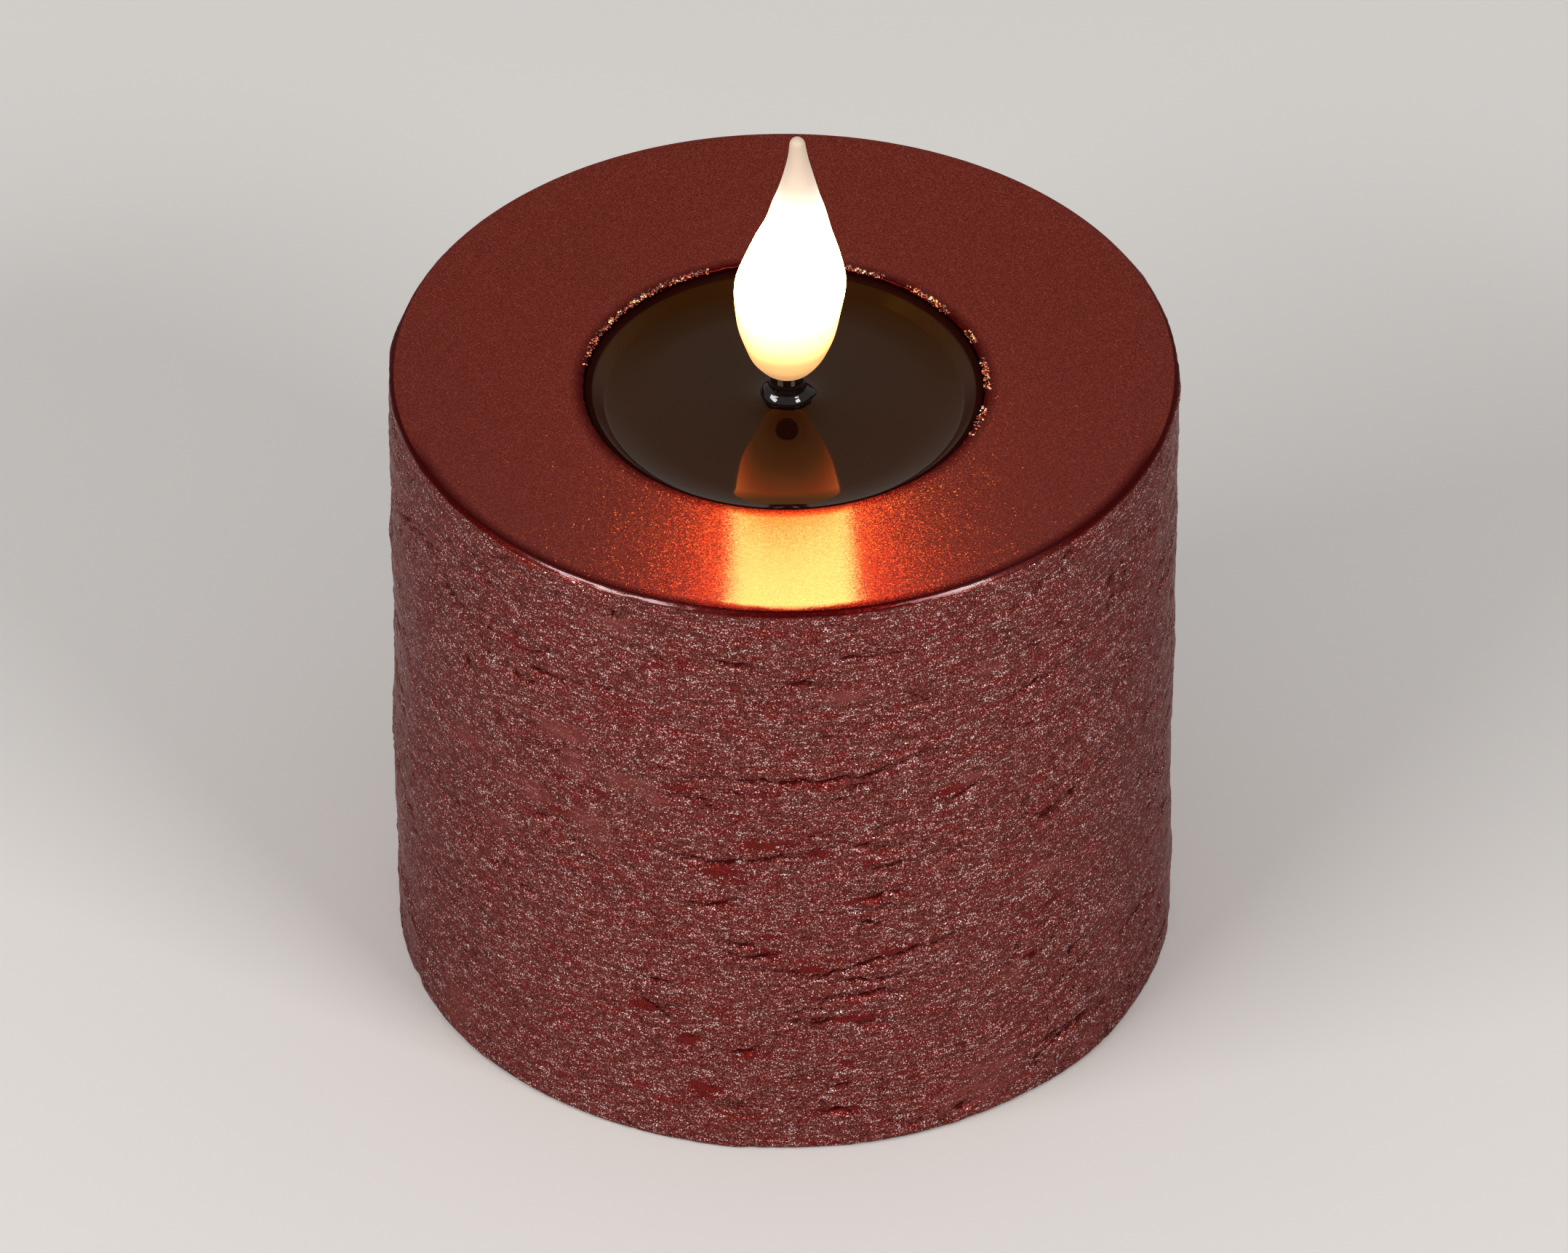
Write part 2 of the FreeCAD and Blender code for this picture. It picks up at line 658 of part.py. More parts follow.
def door_latch():
    """The springy tongue: up from the door's edge, over a bend, and down to a barb and a finger tab."""
    low = base_recess
    high = base_recess + latch_rise
    bend_r = latch_span / 2
    bend_y = door_edge_y + bend_r
    x0 = -latch_w / 2
    x1 = latch_w / 2
    legs = [block(x0, x1, door_edge_y, door_edge_y + latch_t, low, high - bend_r),
            block(x0, x1, latch_outer_y - latch_t, latch_outer_y, low, high - bend_r)]
    bend = rod(bend_r, x0, x1, bend_y, high - bend_r).cut(
        [rod(bend_r - latch_t, x0, x1, bend_y, high - bend_r),
         block(x0, x1, door_edge_y, latch_outer_y, low, high - bend_r)])
    barb_z = base_top_z + slide_gap
    corners = [V(x0, latch_outer_y, barb_z), V(x0, latch_outer_y + barb_reach, barb_z),
               V(x0, latch_outer_y, barb_z + barb_h)]
    barb = Part.Face(Part.makePolygon(corners + corners[:1])).extrude(V(latch_w, 0, 0))
    tab = block(x0, x1, latch_outer_y, latch_outer_y + tab_reach, low, low + tab_t)
    return legs[0].fuse([legs[1], bend, barb, tab]).removeSplitter()


def circuit_board():
    board = block(-board_w / 2, board_w / 2, board_back_y - board_depth, board_back_y, board_z, board_top_z)
    board = board.common(cylinder(cap_inner_r - fit_gap, board_z, board_top_z))
    holes = [cylinder(board_screw_d / 2 + slide_gap, board_z, board_top_z, x, post_y)
             for x in (-post_x, post_x)]
    holes += [centred(terminal_w + slide_gap, terminal_w + slide_gap, board_z, board_top_z, x, switch_y)
              for x in terminal_places()]
    return board.cut(holes)


def board_screws():
    return [cross_screw(board_screw_d, board_screw_len, board_screw_d, board_screw_head_d,
                        board_screw_head_t, x, post_y, board_top_z, True) for x in (-post_x, post_x)]


def controller_chip():
    """A round blob of black resin over the chip."""
    base_r = chip_d / 2
    ball_r = (base_r * base_r + chip_h * chip_h) / (2 * chip_h)
    ball = Part.makeSphere(ball_r, V(chip_x, chip_y, board_top_z + chip_h - ball_r))
    return ball.common(cylinder(chip_d, board_top_z, board_top_z + chip_d, chip_x, chip_y))


def timer_crystal():
    z = board_top_z + crystal_d / 2
    return rod(crystal_d / 2, -crystal_x - crystal_len / 2, -crystal_x + crystal_len / 2, crystal_y, z)


def filter_capacitor():
    can = cylinder(capacitor_d / 2, board_top_z, board_top_z + capacitor_h, -capacitor_x, capacitor_y)
    rim = edges_at(can, lambda e: e.Closed and e.BoundBox.ZMin > board_top_z + capacitor_h / 2)
    return can.makeFillet(cell_edge / 2, rim)


def led_resistor():
    """A resistor that lies on the board on its own two bent legs."""
    z = board_top_z + resistor_d / 2 + fit_gap
    body = rod(resistor_d / 2, resistor_x - resistor_len / 2, resistor_x + resistor_len / 2, resistor_y, z)
    reach = resistor_len / 2 + resistor_lead_reach
    legs = [rod(resistor_lead_d / 2, resistor_x - reach, resistor_x + reach, resistor_y, z)]
    for side in (-1, 1):
        legs.append(cylinder(resistor_lead_d / 2, board_top_z, z, resistor_x + side * reach, resistor_y))
        legs.append(Part.makeSphere(resistor_lead_d / 2, V(resistor_x + side * reach, resistor_y, z)))
    return body.fuse(legs).removeSplitter()


def terminal_places():
    first = -terminal_pitch * (terminal_count - 1) / 2
    return [first + terminal_pitch * step for step in range(terminal_count)]


def switch_frame():
    """The bent steel cover of the switch, with a slot for the knob in its face."""
    outer = centred(switch_len, switch_w, frame_bottom_z, switch_base_z, 0, switch_y)
    inner = centred(switch_len - 2 * frame_t, switch_w - 2 * frame_t, frame_bottom_z + frame_t,
                    switch_base_z, 0, switch_y)
    slot = centred(knob_travel + knob_len + slot_play, knob_w + 2 * slide_gap,
                   frame_bottom_z - overrun, frame_bottom_z + overrun, 0, switch_y)
    return outer.cut([inner, slot])


def switch_base():
    plate = centred(switch_len, switch_w, switch_base_z, board_z, 0, switch_y)
    return plate.cut([centred(terminal_w, terminal_w, switch_base_z, board_z, x, switch_y)
                      for x in terminal_places()])


def switch_terminals():
    return [centred(terminal_w, terminal_w, switch_base_z - terminal_inside, board_top_z + terminal_above,
                    x, switch_y) for x in terminal_places()]


def switch_knob():
    """The sliding knob, drawn at the end where the lamp is on."""
    carriage_z = frame_bottom_z + frame_t + slide_gap
    carriage = centred(carriage_len, carriage_w, carriage_z, carriage_z + carriage_h, knob_rest_x, switch_y)
    knob = centred(knob_len, knob_w, base_recess - knob_proud, carriage_z + carriage_h, knob_rest_x,
                   switch_y)
    grooves = []
    for step in range(knob_ribs):
        x = knob_rest_x + 2 * knob_rib_w * (step - (knob_ribs - 1) / 2)
        grooves.append(centred(knob_rib_w, knob_w, base_recess - knob_proud,
                               base_recess - knob_proud + knob_rib_depth, x, switch_y))
    return knob.fuse(carriage).removeSplitter().cut(grooves)


pool = melt_pool_dish()
nodes = {
    "candle_wax": candle_wax(),
    "melt_pool_dish": pool,
    "wick_stem": wick_stem(),
    "wick_bead": wick_bead(pool),
    "flame_sleeve": flame_sleeve(),
    "flame_led": flame_led(),
    "led_leads": led_leads(),
    "flame_wire_positive": flame_wire(1, "flame_wire_positive"),
    "flame_wire_negative": flame_wire(-1, "flame_wire_negative"),
    "drum_cap": drum_cap(),
    "base_plate": base_plate(),
    "housing_screws": housing_screws(),
    "battery_cell_front": battery_cell(1),
    "battery_cell_rear": battery_cell(-1),
    "contact_bridge": contact_bridge(),
    "contact_negative": contact_plate(-contact_inset - contact_w, -contact_inset, -cell_y),
    "contact_positive": contact_plate(contact_inset, contact_inset + contact_w, cell_y),
    "negative_spring": contact_spring(1),
    "bridge_spring": contact_spring(-1),
    "battery_wire_positive": battery_wire(positive_wire_route, 1, "battery_wire_positive"),
    "battery_wire_negative": battery_wire(negative_wire_route, -1, "battery_wire_negative"),
    "battery_door": battery_door(),
    "door_latch": door_latch(),
    "circuit_board": circuit_board(),
    "board_screws": board_screws(),
    "controller_chip": controller_chip(),
    "timer_crystal": timer_crystal(),
    "filter_capacitor": filter_capacitor(),
    "led_resistor": led_resistor(),
    "switch_frame": switch_frame(),
    "switch_base": switch_base(),
    "switch_terminals": switch_terminals(),
    "switch_knob": switch_knob(),
}

os.makedirs("parts", exist_ok=True)
for node, solids in nodes.items():
    shape = Part.makeCompound(solids) if isinstance(solids, list) else solids
    if len(shape.Solids) == 1:
        shape = shape.Solids[0]
    if not shape.isValid():
        print("%s is not a valid shape" % node)
    shape.exportStep("parts/%s.step" % node)
    print("%-24s %2d solids %10.2f mm3" % (node, len(shape.Solids), shape.Volume))
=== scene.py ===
import math

import bmesh
import bpy
import numpy as np
from mathutils import Matrix, Vector


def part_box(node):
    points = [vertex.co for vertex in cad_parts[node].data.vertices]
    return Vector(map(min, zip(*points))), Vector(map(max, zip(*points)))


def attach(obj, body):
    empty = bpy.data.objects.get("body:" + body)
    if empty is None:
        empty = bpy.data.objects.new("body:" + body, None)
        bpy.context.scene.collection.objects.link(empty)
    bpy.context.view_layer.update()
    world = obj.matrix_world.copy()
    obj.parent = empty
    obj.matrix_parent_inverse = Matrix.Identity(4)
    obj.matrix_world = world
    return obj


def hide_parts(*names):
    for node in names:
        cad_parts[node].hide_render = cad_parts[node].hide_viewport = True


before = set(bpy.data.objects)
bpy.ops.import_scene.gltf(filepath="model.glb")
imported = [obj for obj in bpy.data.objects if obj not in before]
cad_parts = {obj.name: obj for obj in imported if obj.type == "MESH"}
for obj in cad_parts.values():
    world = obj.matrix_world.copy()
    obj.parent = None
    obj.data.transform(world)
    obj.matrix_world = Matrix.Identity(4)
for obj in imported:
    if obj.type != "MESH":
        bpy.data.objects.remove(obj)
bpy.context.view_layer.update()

# A battery candle with a painted wax body, a glossy melt pool and a moulded flame. Lengths are in
# metres, the origin is the centre of the base and -Y is the front. The battery housing and all that
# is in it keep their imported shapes; the wax, the pool and the flame are modelled here more finely.

bl_info = {
    "name": "LED Candle",
    "version": (1, 0, 0),
    "blender": (4, 5, 0),
    "location": "View3D > Sidebar > Candle",
    "description": "Builds a battery candle with a painted wax body, a melt pool and a moulded flame",
    "category": "Object",
}

MM = 0.001

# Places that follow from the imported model
WAX_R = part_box("candle_wax")[1].x
WAX_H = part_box("candle_wax")[1].z
DISH_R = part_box("melt_pool_dish")[1].x
DISH_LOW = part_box("melt_pool_dish")[0].z
DISH_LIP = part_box("melt_pool_dish")[1].z
STEM_X = (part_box("wick_stem")[0].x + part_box("wick_stem")[1].x) / 2
STEM_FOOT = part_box("wick_stem")[0].z
STEM_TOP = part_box("wick_stem")[1].z
STEM_FOOT_R = (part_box("wick_stem")[1].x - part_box("wick_stem")[0].x) / 2
BEAD_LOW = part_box("wick_bead")[0].z
BEAD_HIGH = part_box("wick_bead")[1].z
BEAD_HALF = (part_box("wick_bead")[1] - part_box("wick_bead")[0]) / 2
FLAME_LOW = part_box("flame_sleeve")[0].z
FLAME_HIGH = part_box("flame_sleeve")[1].z
LED_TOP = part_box("flame_led")[1].z
LED_R = (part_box("flame_led")[1].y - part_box("flame_led")[0].y) / 2
CAP_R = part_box("drum_cap")[1].x
CAP_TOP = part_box("drum_cap")[1].z
PLATE_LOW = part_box("base_plate")[0].z
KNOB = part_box("switch_knob")
LEGS_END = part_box("led_leads")[0].z

# Sizes of the pieces that are modelled here
SEAT_GAP = 0.2 * MM          # round the battery housing and the foot of the stem
POOL_R = DISH_R + 0.08 * MM
TOP_DIP = 2.0 * MM           # the top is dished by this much between its rim and the pool
POOL_EDGE_ROUND = 0.16 * MM
FOOT_ROUND = 0.5 * MM
CHAMBER_HIGH_R = 19.0 * MM
CHAMBER_LOW_R = 22.0 * MM
CHAMBER_TOP = LEGS_END + 3.5 * MM
DISH_LIP_W = 0.5 * MM
DISH_LIP_ROUND = 0.14 * MM
POOL_FLOOR = WAX_H - 4.37 * MM   # where the wall of the pool starts
POOL_DOME = 0.3 * MM             # the middle of the pool is this much higher
MELT_CURL_R = 10 * MM            # the melt curls up on this radius before its wall
MELT_CURL = math.radians(18)
WALL_ROUND = 1.0 * MM
WALL_SLOPE = math.radians(45)
MENISCUS_H = 0.69 * MM           # the melt climbs this much to the bead
MENISCUS_R = 2.0 * MM
MENISCUS_FADE = 1.25 * MM
DISH_COLUMNS = 256
RIM_TILT = math.radians(38)      # how steeply the bevel of the rim faces upwards
BEVEL_LIGHTS = ((-117, 16), (-58, 11))   # where it mirrors a lamp, and how widely, in degrees
SIDE_ROWS = 176                  # the side is carved in the mesh, so its faces are small
SIDE_COLUMNS = 430
SIDE_TURN = 2 * math.pi * WAX_R  # all the way round the side
CRUMB_DEPTH = 0.5 * MM           # the torn edges of the top are broken this deep
BACK_CREASES = 26                # numbers of marks on the back, which the photograph doesn't show
BACK_CLEAN = 26
BACK_DUSTY = 20
STEM_R = 1.5 * MM
STEM_BORE_R = 1.1 * MM
STEM_FOOT_T = 1.2 * MM
HOLE_PLAY = 0.05 * MM
FLAME_R = 5.24 * MM
FLAME_FOOT = FLAME_LOW - 0.45 * MM
FLAME_LEAN = 1.05 * MM
FLAME_UNDERSIDE_R = 1.9 * MM
FLAME_FOOT_ROUND = 2.2 * MM      # heights over which the foot and the tip round in
FLAME_TIP_ROUND = 0.7 * MM
FLAME_ROWS = 96
LED_PLAY = 0.15 * MM
FLAME_RADIUS_SHARES = (0.525, 0.710, 0.865, 0.956, 0.994, 0.985, 0.897, 0.782, 0.632, 0.496, 0.372,
                       0.265, 0.176, 0.125)
FLAME_LEAN_SHARES = (0.03, 0, -0.03, 0.03, 0.14, 0.28, 0.45, 0.61, 0.76, 0.89, 0.98, 1.0, 0.97, 0.9)
BEAD_LEVELS = (0, 0.06, 0.14, 0.25, 0.36, 0.60, 0.72, 0.85, 1)
BEAD_WIDTH_SHARES = (0.88, 0.97, 1.0, 0.99, 0.92, 0.72, 0.65, 0.61, 0.585)
CURVE_READS = 90                 # places at which a smooth curve of shares is worked out
WORD_RAISE = 0.15 * MM
WORD_H = 2.4 * MM
WORD_PLACES = (("ON", -9.0 * MM), ("OFF", 9.2 * MM))

# The photograph: its frame in pixels, and the camera that took it
PHOTO_W = 2156
PHOTO_H = 1723
FOCAL_PX = 22223
SENSOR_W = 36.0              # millimetres, as Blender takes it
CAMERA_DISTANCE = 1.555
CAMERA_ELEVATION = math.radians(38.6)
AIM = Vector((0, 0, 0.0342))
CLIP_END = 20
FLOOR_R = 6
FLOOR_DROP = 0.05 * MM           # keeps the floor clear of the foot of the wax

# Marks on the front of the wax, at pixels of the photograph: creases that run round the candle,
# upright gouges, and rubbed places where the paint lies smooth
CREASES_PX = (
    ((905, 1172), (983, 1188), (1051, 1185), (1100, 1182), (1137, 1175)),
    ((930, 1076), (969, 1070), (1018, 1075), (1081, 1077), (1131, 1076), (1196, 1067), (1239, 1051),
     (1289, 1028)),
    ((1167, 1163), (1203, 1167), (1231, 1165)),
    ((1001, 1086), (1022, 1095)),
    ((986, 1291), (1015, 1303), (1051, 1305)),
    ((986, 1311), (1008, 1319), (1076, 1317)),
    ((1015, 1331), (1060, 1337), (1106, 1344), (1137, 1344), (1189, 1326), (1260, 1305), (1321, 1283),
     (1346, 1273)),
    ((1142, 1352), (1163, 1351), (1203, 1348), (1246, 1342)),
    ((1128, 1380), (1153, 1375), (1210, 1366), (1260, 1364)),
    ((1178, 1283), (1192, 1271), (1221, 1268)),
    ((1178, 1244), (1203, 1237), (1249, 1221)),
    ((1099, 1405), (1135, 1409), (1156, 1403)),
    ((1174, 1409), (1217, 1403)),
    ((865, 1351), (886, 1373), (915, 1398), (926, 1412)),
    ((940, 1244), (969, 1245), (1015, 1242)),
    ((994, 1444), (1022, 1447), (1054, 1442)),
    ((1190, 1195), (1245, 1188)),
    ((1060, 940), (1110, 944), (1140, 941)),
    ((960, 905), (1010, 917), (1050, 922)),
    ((1380, 965), (1420, 942), (1460, 915)),
    ((1456, 1096), (1486, 1080)),
    ((1290, 1105), (1330, 1090), (1352, 1076)),
    ((1125, 1532), (1180, 1527)),
    ((1130, 1496), (1175, 1490)),
)
GOUGES_PX = (
    ((636, 886), (643, 903), (640, 918)),
    ((593, 950), (599, 967), (603, 977)),
    ((842, 840), (837, 858)),
)
DUSTY_PX = (                 # centre, and half the width and height
    ((870, 1078), (42, 24)), ((812, 1128), (36, 16)), ((824, 1150), (26, 18)), ((727, 1088), (36, 16)),
    ((790, 1052), (20, 30)), ((628, 1388), (26, 34)), ((1396, 1336), (24, 14)), ((1368, 1475), (46, 40)),
    ((1330, 1512), (40, 16)), ((1358, 920), (20, 14)), ((1338, 1066), (16, 8)), ((1395, 1046), (14, 8)),
    ((900, 1105), (20, 10)), ((690, 1130), (30, 10)), ((1500, 1440), (26, 34)), ((760, 1000), (60, 14)),
    ((1170, 960), (50, 10)), ((640, 1010), (30, 12)), ((1440, 1190), (40, 14)), ((850, 860), (44, 12)),
)
CLEAN_PX = (                 # smooth places of deep, clean red
    ((1060, 1163), (80, 14)), ((985, 1198), (60, 8)), ((1125, 1176), (22, 9)), ((1013, 1214), (34, 8)),
    ((975, 1240), (44, 9)), ((943, 1427), (20, 12)), ((975, 1497), (44, 17)), ((1058, 1316), (24, 9)),
    ((1163, 1462), (16, 12)), ((1200, 1240), (34, 8)), ((1105, 1335), (60, 8)), ((1180, 1400), (60, 9)),
    ((1060, 1290), (30, 8)), ((1040, 1092), (60, 9)), ((930, 1085), (40, 8)), ((1250, 1300), (50, 8)),
    ((1150, 1372), (50, 7)), ((880, 1380), (26, 14)), ((1035, 1450), (40, 8)), ((1210, 1185), (40, 8)),
    ((1150, 1530), (50, 10)), ((800, 1080), (60, 8)), ((760, 1110), (50, 7)), ((1300, 1090), (40, 8)),
)


def hex_colour(code):
    """Linear red, green, blue and alpha from an sRGB hex code."""
    shares = [int(code[place:place + 2], 16) / 255 for place in (0, 2, 4)]
    linear = [s / 12.92 if s <= 0.04045 else ((s + 0.055) / 1.055) ** 2.4 for s in shares]
    return (*linear, 1.0)


def length(name, description, value):
    """A setting that is a length, in metres."""
    return bpy.props.FloatProperty(name=name, description=description, default=value, min=0, unit="LENGTH",
                                   precision=5)


def colour(name, description, code):
    """A setting that is a colour, given as an sRGB hex code."""
    return bpy.props.FloatVectorProperty(name=name, description=description, default=hex_colour(code),
                                         size=4, min=0, max=1, subtype="COLOR")


def number(name, description, value):
    """A setting that is a plain number."""
    return bpy.props.FloatProperty(name=name, description=description, default=value, min=0)


class WaxSettings(bpy.types.PropertyGroup):
    """The worn surface of the wax body and its paint."""
    rim_round: length("Rim rounding", "Radius of the roundings on both sides of the rim's bevel", 0.33 * MM)
    rim_bevel: length("Rim bevel", "Width of the bevel of the rim", 0.26 * MM)
    wave_depth: length("Wave depth", "Depth of the broad waves of the side", 0.2 * MM)
    wave_length: length("Wave length", "Size of the broad waves", 16 * MM)
    streak_depth: length("Streak depth", "Depth of the streaks that run round the side", 0.10 * MM)
    streak_length: length("Streak length", "Length of a streak", 7 * MM)
    streak_height: length("Streak height", "Height of a streak", 1.3 * MM)
    wrinkle_depth: length("Wrinkle depth", "Depth of the fine wrinkles", 0.3 * MM)
    grain_depth: length("Grain depth", "Depth of the coarse grain", 0.05 * MM)
    grain_size: length("Grain size", "Size of the coarse grain", 1.1 * MM)
    pit_depth: length("Pit depth", "Depth of the scattered pits", 0.16 * MM)
    pit_spacing: length("Pit spacing", "Distance between pits", 2.6 * MM)
    crease_depth: length("Crease depth", "Depth of the long creases", 0.5 * MM)
    crease_width: length("Crease width", "Half the width of a crease", 0.33 * MM)
    seed: bpy.props.IntProperty(name="Seed", description="Start of the random marks", default=11)
    # The paint for flakes that shine and the darker one for dull flakes are lit and shaded copies of one
    # paint: painted sparkle and painted shade
    paint: colour("Paint", "Metallic paint, where a flake shines", "A2412A")
    painted_flake_shade: colour("Paint shade", "Metallic paint, where a flake is dull", "680905")
    # The colour of the creases is painted shade, also used on the dark bands of the rim and the pool's edge
    paint_crease_shade: colour("Paint in the creases", "The same paint where it lies deep", "4C0403")
    paint_rubbed: colour("Rubbed paint", "Paint that was rubbed smooth", "8F4843")
    wax: colour("Wax", "Bare dyed wax under the paint", "6E1B1C")


class FlameSettings(bpy.types.PropertyGroup):
    """The light of the flame."""
    glow: number("Glow", "Brightness of the flame at its brightest", 34)
    skin: colour("Silicone", "Colour of the unlit silicone", "D6BFA8")


class StageSettings(bpy.types.PropertyGroup):
    """The floor, the lamps and the sky."""
    floor: colour("Floor", "Colour of the floor", "DEDAD6")
    sky: number("Sky", "Brightness of the even light from all sides", 0.42)
    left: bpy.props.FloatProperty(name="Left power", description="Power of the wide softbox on the left",
                                  default=6.5, min=0, unit="POWER")
    right: bpy.props.FloatProperty(name="Right power", description="Power of the softbox on the right",
                                   default=5.0, min=0, unit="POWER")


def join(tree, node, inputs):
    """Links the node's inputs from other sockets, or sets their values."""
    for key, value in inputs.items():
        if isinstance(value, bpy.types.NodeSocket):
            tree.links.new(value, node.inputs[key])
        else:
            node.inputs[key].default_value = value


def add(tree, kind, inputs=None, stops=(), stepped=False, **settings):
    """Adds a node with its settings, and its inputs as join() takes them. A colour ramp also takes its
    stops, each a place and a hex code, and whether its colours change in steps."""
    node = tree.nodes.new(kind)
    for name, value in settings.items():
        setattr(node, name, value)
    join(tree, node, inputs or {})
    if stops:
        ramp = node.color_ramp
        ramp.interpolation = "CONSTANT" if stepped else "LINEAR"
        ramp.elements.remove(ramp.elements[1])
        ramp.elements[0].position = stops[0][0]
        ramp.elements[0].color = hex_colour(stops[0][1])
        for place, code in stops[1:]:
            ramp.elements.new(place).color = hex_colour(code)
    return node


# Numbers of the sockets of a Mix node, which share their names
COLOUR_A, COLOUR_B, COLOUR_OUT = 6, 7, 2
FLOAT_A, FLOAT_B, FLOAT_OUT = 2, 3, 0


def made(name, build, *values):
    """The material of that name, built once by a function that returns its shader node."""
    material = bpy.data.materials.get(name)
    if material is None:
        material = bpy.data.materials.new(name)
        material.use_nodes = True
        tree = material.node_tree
        tree.nodes.clear()
        shader = build(tree, *values)
        add(tree, "ShaderNodeOutputMaterial", {"Surface": shader.outputs[0]})
    return material


def metallic_paint(tree, settings):
    """Metallic lacquer on wax. On the smooth top its fine flakes lie nearly level under a thin clear coat,
    which mirrors the flame, and the few that lean more sparkle, a sparkle also painted into their lighter
    colour. On the torn side every grain leans its own way, so that it glitters, and its colour is painted
    dark, red, pink or white as a painted reflection of what it would mirror. Creases and the bands of the
    rim and the pool's edge are painted dark as shade, the places round creases show the paint clean, and
    rubbed places are dull."""
    place = add(tree, "ShaderNodeTexCoord").outputs["Object"]
    rough, dusty, clean, crease, ring, polished = (
        add(tree, "ShaderNodeAttribute", attribute_name=name).outputs["Fac"]
        for name in ("rough", "dusty", "clean", "crease", "ring", "polished"))
    drawn = add(tree, "ShaderNodeVectorMath", {0: place, 1: (0.3, 0.3, 1.0)},
                operation="MULTIPLY").outputs[0]
    uneven = add(tree, "ShaderNodeTexNoise", {"Vector": drawn, "Scale": 1 / (1.1 * MM), "Detail": 4.0,
                                              "Roughness": 0.6}).outputs["Fac"]
    dusty = add(tree, "ShaderNodeMath", {0: dusty, 1: 0.42, 2: uneven}, operation="MULTIPLY_ADD").outputs[0]
    dusty = add(tree, "ShaderNodeMapRange", {"Value": dusty, "From Min": 0.66, "From Max": 1.0,
                                             "To Max": 0.75}).outputs[0]
    clean = add(tree, "ShaderNodeMath", {0: clean, 1: 0.5, 2: uneven}, operation="MULTIPLY_ADD").outputs[0]
    clean = add(tree, "ShaderNodeMapRange", {"Value": clean, "From Min": 0.48, "From Max": 0.95}).outputs[0]
    # The edges of a crease are ragged
    ragged = add(tree, "ShaderNodeTexNoise", {"Vector": drawn, "Scale": 1 / (0.2 * MM), "Detail": 3.0,
                                              "Roughness": 0.7}).outputs["Fac"]
    crease = add(tree, "ShaderNodeMath", {0: ragged, 1: 1.3, 2: crease},
                 operation="MULTIPLY_ADD").outputs[0]
    crease = add(tree, "ShaderNodeMapRange", {"Value": crease, "From Min": 1.2,
                                              "From Max": 1.45}).outputs[0]
    # The dark band of the rim and the pool's edge is painted shade, as dark as a crease
    crease = add(tree, "ShaderNodeMath", {0: crease, 1: ring}, operation="MAXIMUM").outputs[0]
    # Real flakes are finer than a pixel. They are drawn coarser: grains of nearly 0.1 mm on the side, and
    # flakes of 0.07 mm on the top
    grain = add(tree, "ShaderNodeTexVoronoi", {"Vector": place, "Scale": 1 / (0.088 * MM)}).outputs
    flake = add(tree, "ShaderNodeTexVoronoi", {"Vector": place, "Scale": 1 / (0.07 * MM)}).outputs
    side_tilt = add(tree, "ShaderNodeMath", {0: clean, 1: -0.35, 2: 0.65},
                    operation="MULTIPLY_ADD").outputs[0]
    shine = add(tree, "ShaderNodeTexWhiteNoise", {"Vector": flake["Position"]}).outputs["Value"]
    rare = add(tree, "ShaderNodeMath", {0: shine, 1: 3.0}, operation="POWER").outputs[0]
    top_tilt = add(tree, "ShaderNodeMath", {0: rare, 1: 0.55, 2: 0.2}, operation="MULTIPLY_ADD").outputs[0]
    tilt = add(tree, "ShaderNodeMix", {0: rough, FLOAT_A: top_tilt, FLOAT_B: side_tilt}).outputs[FLOAT_OUT]
    lean = add(tree, "ShaderNodeMix", {0: rough, COLOUR_A: flake["Color"], COLOUR_B: grain["Color"]},
               data_type="RGBA").outputs[COLOUR_OUT]
    lean = add(tree, "ShaderNodeVectorMath", {0: lean, 1: (0.5, 0.5, 0.5)}, operation="SUBTRACT").outputs[0]
    lean = add(tree, "ShaderNodeVectorMath", {0: lean, "Scale": tilt}, operation="SCALE").outputs[0]
    lumps = add(tree, "ShaderNodeTexNoise", {"Vector": place, "Scale": 1 / (0.5 * MM), "Detail": 4.0})
    lump_height = add(tree, "ShaderNodeMath", {0: lumps.outputs["Fac"], 1: rough}, operation="MULTIPLY")
    bump = add(tree, "ShaderNodeBump", {"Height": lump_height.outputs[0], "Distance": 0.16 * MM,
                                        "Strength": 0.9}).outputs["Normal"]
    tilted = add(tree, "ShaderNodeVectorMath", {0: bump, 1: lean}, operation="ADD").outputs[0]
    tilted = add(tree, "ShaderNodeVectorMath", {0: tilted}, operation="NORMALIZE").outputs[0]
    coat_lean = add(tree, "ShaderNodeMath", {0: rough, 1: 0.88, 2: 0.12},
                    operation="MULTIPLY_ADD").outputs[0]
    coat_normal = add(tree, "ShaderNodeMix", {0: coat_lean, 4: bump, 5: tilted},
                      data_type="VECTOR").outputs[1]
